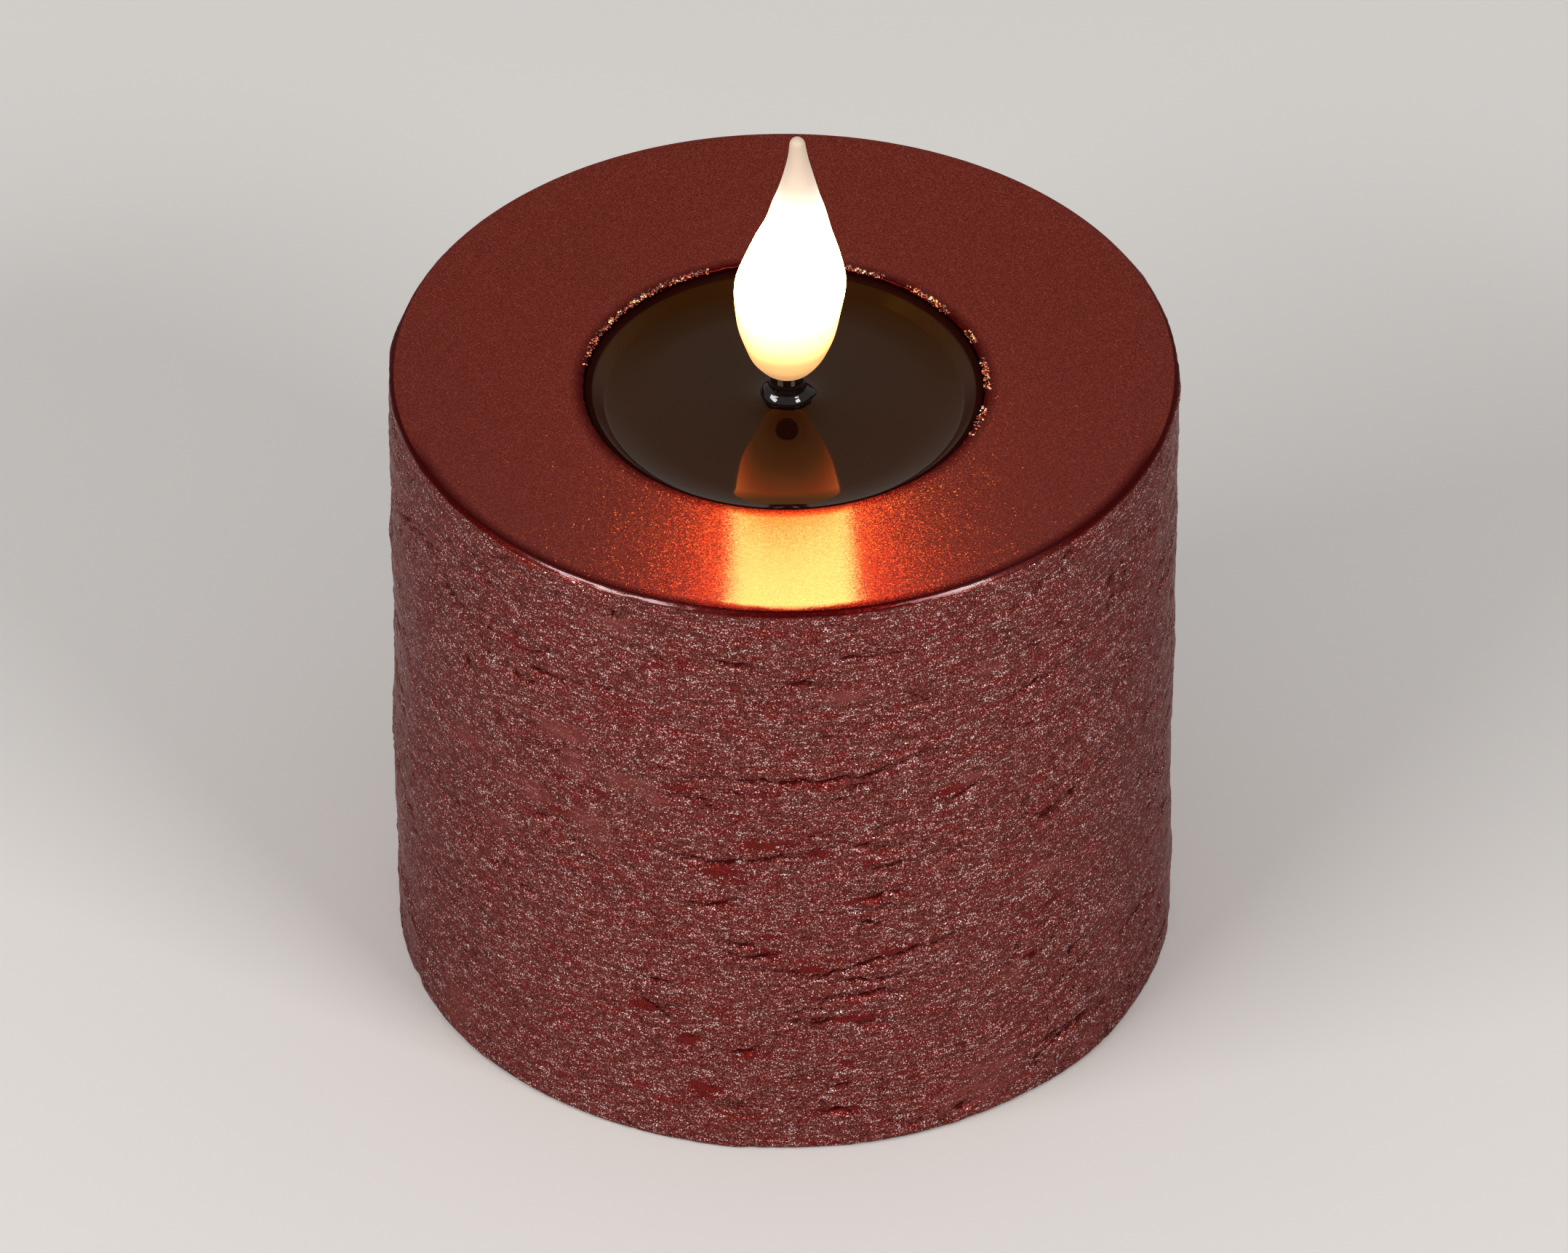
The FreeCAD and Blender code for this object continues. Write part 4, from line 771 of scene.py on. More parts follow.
    # The edges of the top are broken by small crumbs, up and down as well as outwards
    crumbs = add(tree, "ShaderNodeTexNoise", {"Vector": scaled(size["Grain Size"], size["Grain Size"]),
                                              "Scale": 1.6, "Detail": 2.0}).outputs["Color"]
    crumbs = add(tree, "ShaderNodeVectorMath", {0: crumbs, 1: (0.5, 0.5, 0.5)},
                 operation="SUBTRACT").outputs[0]
    crumb_depth = add(tree, "ShaderNodeMath", {0: broken, 1: size["Crumb Depth"]},
                      operation="MULTIPLY").outputs[0]
    crumbs = add(tree, "ShaderNodeVectorMath", {0: crumbs, "Scale": crumb_depth},
                 operation="SCALE").outputs[0]
    offset = add(tree, "ShaderNodeVectorMath", {0: offset, 1: crumbs}, operation="ADD").outputs[0]
    moved = add(tree, "GeometryNodeSetPosition", {"Geometry": size["Geometry"], "Offset": offset})
    # The wrinkles join the listed creases in the mask that the paint darkens as painted shade
    hand = add(tree, "GeometryNodeInputNamedAttribute", {"Name": "crease"}, data_type="FLOAT").outputs[0]
    wrinkle = add(tree, "ShaderNodeMath", {0: wrinkle, 1: rough}, operation="MULTIPLY").outputs[0]
    wrinkle = add(tree, "ShaderNodeMath", {0: wrinkle, 1: 0.8}, operation="MULTIPLY").outputs[0]
    deep = add(tree, "ShaderNodeMath", {0: wrinkle, 1: hand}, operation="MAXIMUM").outputs[0]
    kept = add(tree, "GeometryNodeStoreNamedAttribute", {"Geometry": moved.outputs[0], "Name": "crease",
                                                         "Value": deep}, data_type="FLOAT", domain="POINT")
    real = add(tree, "GeometryNodeRealizeInstances", {0: kept.outputs[0]})
    bare = add(tree, "GeometryNodeSetMaterial", {"Geometry": real.outputs[0], "Material": size["Wax"]})
    outside = add(tree, "ShaderNodeMath", {0: coated, 1: 0.5}, operation="GREATER_THAN").outputs[0]
    painted = add(tree, "GeometryNodeSetMaterial", {"Geometry": bare.outputs[0], "Selection": outside,
                                                    "Material": size["Paint"]})
    add(tree, "NodeGroupOutput", {0: painted.outputs[0]})
    return tree


def crumb_tree(sizes):
    """Scatters small rough crumbs along an arc, in loose clumps."""
    tree, given = geometry_tree("Edge Crumbs", sizes, ("Paint",))
    size = given.outputs
    ring = add(tree, "GeometryNodeCurveArc", {"Resolution": 128, "Radius": size["Radius"],
                                              "Start Angle": size["Start Angle"],
                                              "Sweep Angle": size["Sweep Angle"]})
    spots = add(tree, "GeometryNodeCurveToPoints", {"Curve": ring.outputs["Curve"], "Count": size["Count"]},
                mode="COUNT")
    place = add(tree, "GeometryNodeInputPosition").outputs[0]
    clumps = add(tree, "ShaderNodeTexNoise", {"Vector": place, "Scale": 1 / (4 * MM),
                                              "Detail": 1.0}).outputs["Fac"]
    thin = add(tree, "ShaderNodeMath", {0: clumps, 1: 0.43}, operation="LESS_THAN").outputs[0]
    # They grow fewer towards both ends of the arc
    index = add(tree, "GeometryNodeInputIndex").outputs[0]
    along = add(tree, "ShaderNodeMath", {0: index, 1: size["Count"]}, operation="DIVIDE").outputs[0]
    from_end = add(tree, "ShaderNodeMath", {0: along, 1: 0.5}, operation="PINGPONG").outputs[0]
    full = add(tree, "ShaderNodeMapRange", {"Value": from_end, "From Max": 0.13}).outputs[0]
    lots = add(tree, "FunctionNodeRandomValue", {"Seed": size["Seed"]}, data_type="FLOAT").outputs[1]
    few = add(tree, "ShaderNodeMath", {0: lots, 1: full}, operation="GREATER_THAN").outputs[0]
    thin = add(tree, "ShaderNodeMath", {0: thin, 1: few}, operation="MAXIMUM").outputs[0]
    kept = add(tree, "GeometryNodeDeleteGeometry", {"Geometry": spots.outputs["Points"], "Selection": thin},
               domain="POINT")
    height = add(tree, "ShaderNodeCombineXYZ", {"Z": size["Height"]}).outputs[0]
    stray = add(tree, "FunctionNodeRandomValue", {0: (-1, -1, -0.2), 1: (1, 1, 0.2), "Seed": size["Seed"]},
                data_type="FLOAT_VECTOR").outputs[0]
    stray = add(tree, "ShaderNodeVectorMath", {0: stray, "Scale": size["Stray"]},
                operation="SCALE").outputs[0]
    offset = add(tree, "ShaderNodeVectorMath", {0: height, 1: stray}, operation="ADD").outputs[0]
    moved = add(tree, "GeometryNodeSetPosition", {"Geometry": kept.outputs[0], "Offset": offset}).outputs[0]
    ball = add(tree, "GeometryNodeMeshIcoSphere", {"Radius": size["Size"], "Subdivisions": 1}).outputs[0]
    turn = add(tree, "FunctionNodeRandomValue", {0: (0, 0, 0), 1: (6.28, 6.28, 6.28), "Seed": size["Seed"]},
               data_type="FLOAT_VECTOR").outputs[0]
    spread = add(tree, "FunctionNodeRandomValue", {0: (0.3, 0.3, 0.3), 1: (1.2, 1.2, 0.9),
                                                   "Seed": size["Seed"]},
                 data_type="FLOAT_VECTOR").outputs[0]
    placed = add(tree, "GeometryNodeInstanceOnPoints", {"Points": moved, "Instance": ball, "Rotation": turn,
                                                        "Scale": spread}).outputs[0]
    real = add(tree, "GeometryNodeRealizeInstances", {0: placed}).outputs[0]
    lumps = add(tree, "ShaderNodeTexNoise", {"Vector": place, "Scale": 1 / (0.22 * MM),
                                             "Detail": 1.0}).outputs["Color"]
    lumps = add(tree, "ShaderNodeVectorMath", {0: lumps, 1: (0.5, 0.5, 0.5)},
                operation="SUBTRACT").outputs[0]
    lumps = add(tree, "ShaderNodeVectorMath", {0: lumps, "Scale": size["Size"]},
                operation="SCALE").outputs[0]
    rough = add(tree, "GeometryNodeSetPosition", {"Geometry": real, "Offset": lumps}).outputs[0]
    worn = add(tree, "GeometryNodeSetMaterial", {"Geometry": rough, "Material": size["Paint"]})
    add(tree, "NodeGroupOutput", {0: worn.outputs[0]})
    return tree


def camera_axes():
    """The camera's place, and its right, up and forward directions."""
    forward = Vector((0, math.cos(CAMERA_ELEVATION), -math.sin(CAMERA_ELEVATION)))
    right = Vector((1, 0, 0))
    return AIM - forward * CAMERA_DISTANCE, right, right.cross(forward), forward


def side_place(pixel):
    """How far round the wax side and how high a pixel of the photograph lies, both in metres."""
    eye, right, up, forward = camera_axes()
    # Where the pixel's line of sight meets the cylinder of the side
    to_right = (pixel[0] - PHOTO_W / 2) / FOCAL_PX
    to_top = (PHOTO_H / 2 - pixel[1]) / FOCAL_PX
    ray = forward + right * to_right + up * to_top
    a = ray.x ** 2 + ray.y ** 2
    b = 2 * (eye.x * ray.x + eye.y * ray.y)
    c = eye.x ** 2 + eye.y ** 2 - WAX_R ** 2
    hit = eye + ray * ((-b - math.sqrt(b * b - 4 * a * c)) / (2 * a))
    return WAX_R * math.atan2(hit.y, hit.x), hit.z


def way_round(around, at):
    """How far points of the side lie from a place, the shorter way round."""
    return (around - at + SIDE_TURN / 2) % SIDE_TURN - SIDE_TURN / 2


def back_creases(settings):
    """Creases for the part of the side that the photograph doesn't show, each a short wandering line."""
    draw = np.random.default_rng(settings.seed)
    creases = []
    for _ in range(BACK_CREASES):
        at = WAX_R * draw.uniform(math.radians(-8), math.radians(188))
        height = draw.uniform(0.06, 0.9) * WAX_H
        points = [(at, height)]
        slope = draw.uniform(-0.12, 0.12)
        for _ in range(draw.integers(2, 7)):
            step = draw.uniform(2.0, 4.5) * MM
            slope += draw.uniform(-0.18, 0.18)
            points.append((points[-1][0] + step, points[-1][1] + step * slope))
        creases.append(points)
    return creases


def crease_field(around, height, lines, half_width):
    """For points of the side, each from 0 to 1: how near they are to a line, whether they lie on the lip
    above it, and how far they are in the broad band round it. The lines wander a little."""
    near = np.zeros(len(around))
    above = np.zeros(len(around))
    broad = np.zeros(len(around))
    for number_of_line, line in enumerate(lines):
        line = np.array(line)
        shifted = around + number_of_line * 1.7 * MM
        wander = 0.16 * MM * np.sin(shifted / (0.62 * MM)) + 0.12 * MM * np.sin(shifted / (0.31 * MM) + 1)
        thickness = 1 + 0.55 * np.sin(shifted / (0.9 * MM)) * np.sin(shifted / (0.37 * MM) + 2)
        steps = np.hypot(*np.diff(line, axis=0).T)
        total = steps.sum()
        walked = 0.0
        for a, b, step in zip(line, line[1:], steps):
            dx = way_round(around, a[0])
            dz = height - a[1] + wander
            way = (b - a) / step
            along = np.clip(dx * way[0] + dz * way[1], 0, step)
            off = np.hypot(dx - along * way[0], dz - along * way[1])
            share = (walked + along) / total
            taper = np.sqrt(np.clip(np.sin(math.pi * (0.06 + 0.88 * share)), 0, 1))
            value = taper * np.exp(-(off / (half_width * thickness)) ** 2)
            broad = np.maximum(broad, taper * np.exp(-(off / (4.5 * half_width)) ** 2))
            side = (dz * way[0] - dx * way[1]) * np.sign(way[0] if way[0] else 1)
            lip = taper * np.exp(-((side - 2.2 * half_width) / (1.3 * half_width)) ** 2)
            lip = lip * (off < 6 * half_width)
            near = np.maximum(near, value)
            above = np.maximum(above, lip)
            walked += step
    return near, above, broad


def patch_field(around, height, marks_px, count, seed):
    """How far points of the side lie in smooth patches, from 0 to 1: those of the photograph, and some
    more on the back."""
    draw = np.random.default_rng(seed)
    spots = []
    for centre, half in marks_px:
        middle = side_place(centre)
        right = side_place((centre[0] + half[0], centre[1]))
        low = side_place((centre[0], centre[1] + half[1]))
        spots.append((middle, abs(right[0] - middle[0]), abs(low[1] - middle[1])))
    for _ in range(count):
        centre = (WAX_R * draw.uniform(0, math.pi), draw.uniform(0.05, 0.92) * WAX_H)
        spots.append((centre, draw.uniform(1.5, 5.0) * MM, draw.uniform(0.6, 1.8) * MM))
    field = np.zeros(len(around))
    for centre, half_width, half_height in spots:
        dx = way_round(around, centre[0])
        dz = height - centre[1]
        reach = np.hypot(dx / half_width, dz / half_height)
        field = np.maximum(field, 1 - smooth_share(reach, 0.0, 1.9))
    return field


def wax_outline(settings):
    """The outline of the wax body, closed round its seat for the housing, and its hollow."""
    rim = settings.rim_round
    top_r = WAX_R - rim - settings.rim_bevel * math.sin(RIM_TILT)
    bevel_low = WAX_H - rim - settings.rim_bevel * math.cos(RIM_TILT)
    tilt = math.degrees(RIM_TILT)
    span = top_r - POOL_R
    inward = np.linspace(0, 1 - POOL_EDGE_ROUND / span, 15)
    top = [(top_r - span * u, WAX_H - TOP_DIP * (1.7 * u - 0.7 * u * u)) for u in inward]
    lip = top[-1]
    ledge = CAP_TOP + SEAT_GAP / 2
    cavity = CAP_R + SEAT_GAP
    seat = STEM_FOOT_R + SEAT_GAP
    bore = STEM_BORE_R + SEAT_GAP
    outline = run((bore, CHAMBER_TOP), (CHAMBER_HIGH_R, CHAMBER_TOP), 3)
    outline += run((CHAMBER_HIGH_R, CHAMBER_TOP), (CHAMBER_LOW_R, ledge), 3)
    outline += run((CHAMBER_LOW_R, ledge), (cavity, ledge), 2)
    outline += run((cavity, ledge), (cavity, 0), 3)
    outline += run((cavity, 0), (WAX_R - FOOT_ROUND, 0), 4)
    outline += arc((WAX_R - FOOT_ROUND, FOOT_ROUND), FOOT_ROUND, -90, 0, 3)[:-1]
    outline += run((WAX_R, FOOT_ROUND), (WAX_R, bevel_low), SIDE_ROWS)
    low_bend = arc((WAX_R - rim, bevel_low), rim, 0, tilt, 3)
    high_bend = arc((top_r, WAX_H - rim), rim, tilt, 90, 4)
    outline += low_bend[:-1] + run(low_bend[-1], high_bend[0], 2) + high_bend[:-1]
    outline += top[:-1]
    outline += arc((POOL_R + POOL_EDGE_ROUND, lip[1] - POOL_EDGE_ROUND), POOL_EDGE_ROUND, 90, 180, 4)
    outline += run((POOL_R, lip[1] - 1.4 * POOL_EDGE_ROUND), (POOL_R, DISH_LOW), 4)
    outline += run((POOL_R, DISH_LOW), (seat, DISH_LOW), 2)
    outline += run((seat, DISH_LOW), (seat, STEM_FOOT), 1)
    outline += run((seat, STEM_FOOT), (bore, STEM_FOOT), 1)
    outline += run((bore, STEM_FOOT), (bore, CHAMBER_TOP), 2)
    return outline


class CANDLE_OT_wax_body(bpy.types.Operator):
    """Makes the painted wax body with its worn side"""
    bl_idname = "candle.wax_body"
    bl_label = "Wax Body"

    def execute(self, context):
        settings = context.scene.candle_wax
        piece = turned("wax_body", wax_outline(settings), SIDE_COLUMNS, 50)
        places = towards_stem(points_of(piece.data), STEM_FOOT_R + 1 * MM, POOL_R)
        put_points(piece.data, places)
        for name, values in self.surface(places, settings).items():
            paint_attribute(piece.data, name, values)
        sizes = {"Wave Depth": settings.wave_depth, "Wave Length": settings.wave_length,
                 "Streak Depth": settings.streak_depth, "Streak Length": settings.streak_length,
                 "Streak Height": settings.streak_height, "Wrinkle Depth": settings.wrinkle_depth,
                 "Grain Depth": settings.grain_depth, "Grain Size": settings.grain_size,
                 "Pit Depth": settings.pit_depth, "Pit Spacing": settings.pit_spacing,
                 "Crumb Depth": CRUMB_DEPTH, "Seed": float(settings.seed)}
        paint = made("metallic_paint_on_wax", metallic_paint, settings)
        wax = made("dyed_paraffin_wax", dyed_wax, settings)
        grow(piece, worn_side_tree(sizes), {**sizes, "Paint": paint, "Wax": wax})
        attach(piece, "candle")
        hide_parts("candle_wax")
        return {"FINISHED"}

    def surface(self, places, settings):
        """What every point carries for the trees: how rough, clean, dusty or polished the paint is there,
        how deep its marks are, where it is painted dark as shade, and where an edge is broken."""
        reach = np.hypot(places[:, 0], places[:, 1])
        height = places[:, 2]
        around = WAX_R * np.arctan2(places[:, 1], places[:, 0])
        outside = smooth_share(reach, CAP_R + 1.2 * MM, WAX_R - 0.7 * MM)
        top_edge = WAX_R - settings.rim_round - settings.rim_bevel * math.sin(RIM_TILT) - 0.05 * MM
        # The smooth, glossy paint of the rim and its painted shade reach lower at the front
        front = np.exp(-((around / WAX_R + math.pi / 2) / 0.45) ** 2)
        paint_edge = WAX_H - (0.4 + 0.15 * front) * MM
        on_rim = smooth_share(height, paint_edge - 0.15 * MM, paint_edge + 0.15 * MM)
        rough = outside * (1 - on_rim)
        creases = [[side_place(pixel) for pixel in line] for line in CREASES_PX + GOUGES_PX]
        near, lip, wide = crease_field(around, height, creases + back_creases(settings),
                                       settings.crease_width)
        below_top = outside * (height < WAX_H - 1.2 * MM)
        marks = below_top * settings.crease_depth * (0.35 * lip - near)
        # A band of painted shade runs over the rim and round the torn edge of the pool, as dark as in a
        # crease
        turn = around / WAX_R
        ring_low = WAX_R - (0.5 + 0.7 * smooth_share(-np.sin(turn), 0.2, 0.8)) * MM
        ring = smooth_share(reach, ring_low, ring_low + 0.2 * MM) * on_rim
        ring = ring * (1 - 0.7 * smooth_share(np.sin(turn), 0.2, 0.6))
        ring = np.maximum(ring, (reach < POOL_R + 0.2 * MM) & (reach > POOL_R - 0.1 * MM))
        # Painted shade round the edge of the pool, towards the back
        painted_pool_shade = 0.78 * np.exp(-((reach - POOL_R - 0.3 * MM) / (0.9 * MM)) ** 2) * (height > DISH_LIP)
        painted_pool_shade = painted_pool_shade * smooth_share(places[:, 1] / np.maximum(reach, MM), -0.5, 0.1)
        # The bevel mirrors the two lamps left and right of the front
        lit = np.max([np.exp(-((np.degrees(turn) - at) / spread) ** 2) for at, spread in BEVEL_LIGHTS],
                     axis=0)
        polished = 0.9 * lit * on_rim * (reach > top_edge) * (height < WAX_H - 0.02 * MM)
        clean = np.maximum(patch_field(around, height, CLEAN_PX, BACK_CLEAN, settings.seed + 2), 0.6 * wide)
        clean = clean * rough
        dusty = patch_field(around, height, DUSTY_PX, BACK_DUSTY, settings.seed + 1) * rough
        # The outside and the edge of the pool are painted, and the wax is bare inside
        coated = (reach > CAP_R + 2.2 * MM) | ((height > DISH_LIP - 1.5 * MM) & (reach > POOL_R - 0.1 * MM))
        # The rim is broken most at its front, and the edge of the pool everywhere but there
        rim_edge = np.exp(-((height - WAX_H + 0.6 * MM) / (0.6 * MM)) ** 2) * (reach > WAX_R - 1 * MM)
        rim_edge = rim_edge * (0.12 + 0.6 * front)
        torn = smooth_share(places[:, 1] / np.maximum(reach, MM), -0.72, -0.45)
        pool_edge = np.exp(-((reach - POOL_R - 0.35 * MM) / (0.45 * MM)) ** 2) * (height > DISH_LIP) * torn
        return {"rough": rough, "marks": marks, "ring": ring,
                "crease": np.maximum(near * below_top, painted_pool_shade), "polished": polished, "clean": clean,
                "dusty": dusty, "coated": coated, "broken_edge": rim_edge + pool_edge}


class CANDLE_OT_edge_crumbs(bpy.types.Operator):
    """Scatters crumbs of paint along the edge of the pool and the rim"""
    bl_idname = "candle.edge_crumbs"
    bl_label = "Edge Crumbs"

    def execute(self, context):
        settings = context.scene.candle_wax
        crumbs = made("broken_paint_crumbs", paint_crumbs)
        edge = WAX_H - TOP_DIP
        # Radius, height, start and sweep in degrees, count, and the crumbs' size and stray
        rows = (("pool_edge_crumbs", POOL_R + 0.22 * MM, edge - 0.05 * MM, -30, 205, 1500, 0.19 * MM,
                 0.3 * MM),
                ("rim_crumbs", WAX_R - 0.12 * MM, WAX_H - 0.75 * MM, -125, 75, 260, 0.12 * MM, 0.25 * MM))
        for name, radius, height, start, sweep, count, grit, stray in rows:
            sizes = {"Radius": radius, "Height": height, "Start Angle": math.radians(start),
                     "Sweep Angle": math.radians(sweep), "Count": count, "Size": grit, "Stray": stray,
                     "Seed": settings.seed}
            mesh = bpy.data.meshes.new(name)
            piece = bpy.data.objects.new(name, mesh)
            context.scene.collection.objects.link(piece)
            grow(piece, crumb_tree(sizes), {**sizes, "Paint": crumbs})
            piece.data.shade_smooth()
            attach(piece, "candle")
        return {"FINISHED"}


class CANDLE_OT_melt_pool(bpy.types.Operator):
    """Makes the glossy dish of the melt pool"""
    bl_idname = "candle.melt_pool"
    bl_label = "Melt Pool"

    def execute(self, context):
        lip_r = DISH_R - DISH_LIP_W
        curl_w = MELT_CURL_R * math.sin(MELT_CURL)
        curl_h = MELT_CURL_R * (1 - math.cos(MELT_CURL))
        foot_w = curl_w + WALL_ROUND * (math.sin(WALL_SLOPE) - math.sin(MELT_CURL))
        foot_h = curl_h + WALL_ROUND * (math.cos(MELT_CURL) - math.cos(WALL_SLOPE))
        floor_r = lip_r - foot_w - (DISH_LIP - POOL_FLOOR - foot_h) / math.tan(WALL_SLOPE)
        hole = STEM_R + HOLE_PLAY
        lip = DISH_LIP_ROUND
        outline = run((hole, DISH_LOW), (DISH_R, DISH_LOW), 6)
        outline += run((DISH_R, DISH_LOW), (DISH_R, DISH_LIP - lip), 4)
        outline += arc((DISH_R - lip, DISH_LIP - lip), lip, 0, 90, 4)
        outline += run((lip_r, DISH_LIP), (floor_r + foot_w, POOL_FLOOR + foot_h), 16)
        curl_end = math.degrees(MELT_CURL) - 90
        round_centre = (floor_r + curl_w - WALL_ROUND * math.sin(MELT_CURL),
                        POOL_FLOOR + curl_h + WALL_ROUND * math.cos(MELT_CURL))
        outline += arc(round_centre, WALL_ROUND, math.degrees(WALL_SLOPE) - 90, curl_end, 8)[:-1]
        outline += arc((floor_r, POOL_FLOOR + MELT_CURL_R), MELT_CURL_R, curl_end, -90, 32)
        # The melt is slightly domed, and climbs to the bead round the stem
        inward = np.linspace(floor_r, hole, 120)[1:]
        dome = POOL_DOME * (1 + np.cos(math.pi * inward / floor_r)) / 2
        climb = MENISCUS_H * np.exp(-np.maximum(inward - MENISCUS_R, 0) / MENISCUS_FADE)
        climb = climb - MENISCUS_H * math.exp(-(floor_r - MENISCUS_R) / MENISCUS_FADE)
        outline += list(zip(inward, POOL_FLOOR + dome + climb))
        outline += run((hole, POOL_FLOOR + POOL_DOME + MENISCUS_H), (hole, DISH_LOW), 3)[1:]
        piece = turned("melt_pool", outline, DISH_COLUMNS, 40)
        put_points(piece.data, towards_stem(points_of(piece.data), 0.4 * floor_r, 0.8 * floor_r))
        piece.data.materials.append(made("polished_dark_polystyrene", melt_gloss))
        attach(piece, "candle")
        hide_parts("melt_pool_dish")
        return {"FINISHED"}


class CANDLE_OT_wick(bpy.types.Operator):
    """Makes the tube that carries the flame and the bead of melted plastic round it"""
    bl_idname = "candle.wick"
    bl_label = "Wick"

    def execute(self, context):
        soft = 0.12 * MM
        outline = run((STEM_BORE_R, STEM_FOOT), (STEM_FOOT_R - soft, STEM_FOOT), 3)
        outline += arc((STEM_FOOT_R - soft, STEM_FOOT + soft), soft, -90, 0, 3)
        outline += arc((STEM_FOOT_R - soft, STEM_FOOT + STEM_FOOT_T - soft), soft, 0, 90, 3)
        outline += run((STEM_R, STEM_FOOT + STEM_FOOT_T), (STEM_R, STEM_TOP - soft), 12)
        outline += arc((STEM_R - soft, STEM_TOP - soft), soft, 0, 90, 3)
        outline += run((STEM_BORE_R, STEM_TOP), (STEM_BORE_R, STEM_FOOT), 3)
        stem = turned("wick_tube", outline, 64)
        self.finish(stem, "wick_stem")
        # The bead is an oval bell that ran down the stem, with a lobe on its left and a nub on its right
        hole = STEM_R + HOLE_PLAY
        level = np.linspace(0, 1, 41)
        radii = BEAD_HALF.x * np.interp(level, BEAD_LEVELS, BEAD_WIDTH_SHARES)
        radii = np.convolve(np.pad(radii, 2, mode="edge"), np.full(5, 0.2), mode="valid")
        outline = [(hole, BEAD_LOW)] + list(zip(radii, BEAD_LOW + (BEAD_HIGH - BEAD_LOW) * level))
        outline += run((hole, BEAD_HIGH), (hole, BEAD_LOW), 4)[1:]
        bead = turned("wick_bead_melt", outline, 96)
        places = points_of(bead.data)
        reach = np.hypot(places[:, 0], places[:, 1])
        angle = np.arctan2(places[:, 1], places[:, 0])
        share = smooth_share(reach, hole, 0.8 * BEAD_HALF.x)
        level = (places[:, 2] - BEAD_LOW) / (BEAD_HIGH - BEAD_LOW)
        oval = 1 - (1 - BEAD_HALF.y / BEAD_HALF.x) * np.sin(angle) ** 2
        runs = 1 + 0.025 * np.sin(5 * angle + 0.6)
        nub = 1 + 0.07 * np.exp(-((angle / 0.22) ** 2)) * np.exp(-((level - 0.2) / 0.12) ** 2)
        left = np.exp(-(((np.abs(angle) - math.pi) / 0.5) ** 2))
        lobe = 1 + 0.12 * left * np.exp(-((level - 0.55) / 0.18) ** 2)
        keel = 1 + 0.07 * np.exp(-(((angle + math.pi / 2) / 0.5) ** 2))
        grown = 1 + share * (oval * runs * nub * lobe * keel - 1)
        places[:, 0] *= grown
        places[:, 1] *= grown
        places[:, 0] += STEM_X
        put_points(bead.data, places)
        self.finish(bead, "wick_bead", moved=True)
        return {"FINISHED"}

    def finish(self, piece, node, moved=False):
        """Moves a piece over to the stem, if it isn't there yet, gives it the black plastic, hangs it under
        the candle and hides the part that it replaces.
        """
        if not moved:
            places = points_of(piece.data)
            places[:, 0] += STEM_X
            put_points(piece.data, places)
        piece.data.materials.append(made("melted_black_plastic", melted_black))
        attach(piece, "candle")
        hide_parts(node)


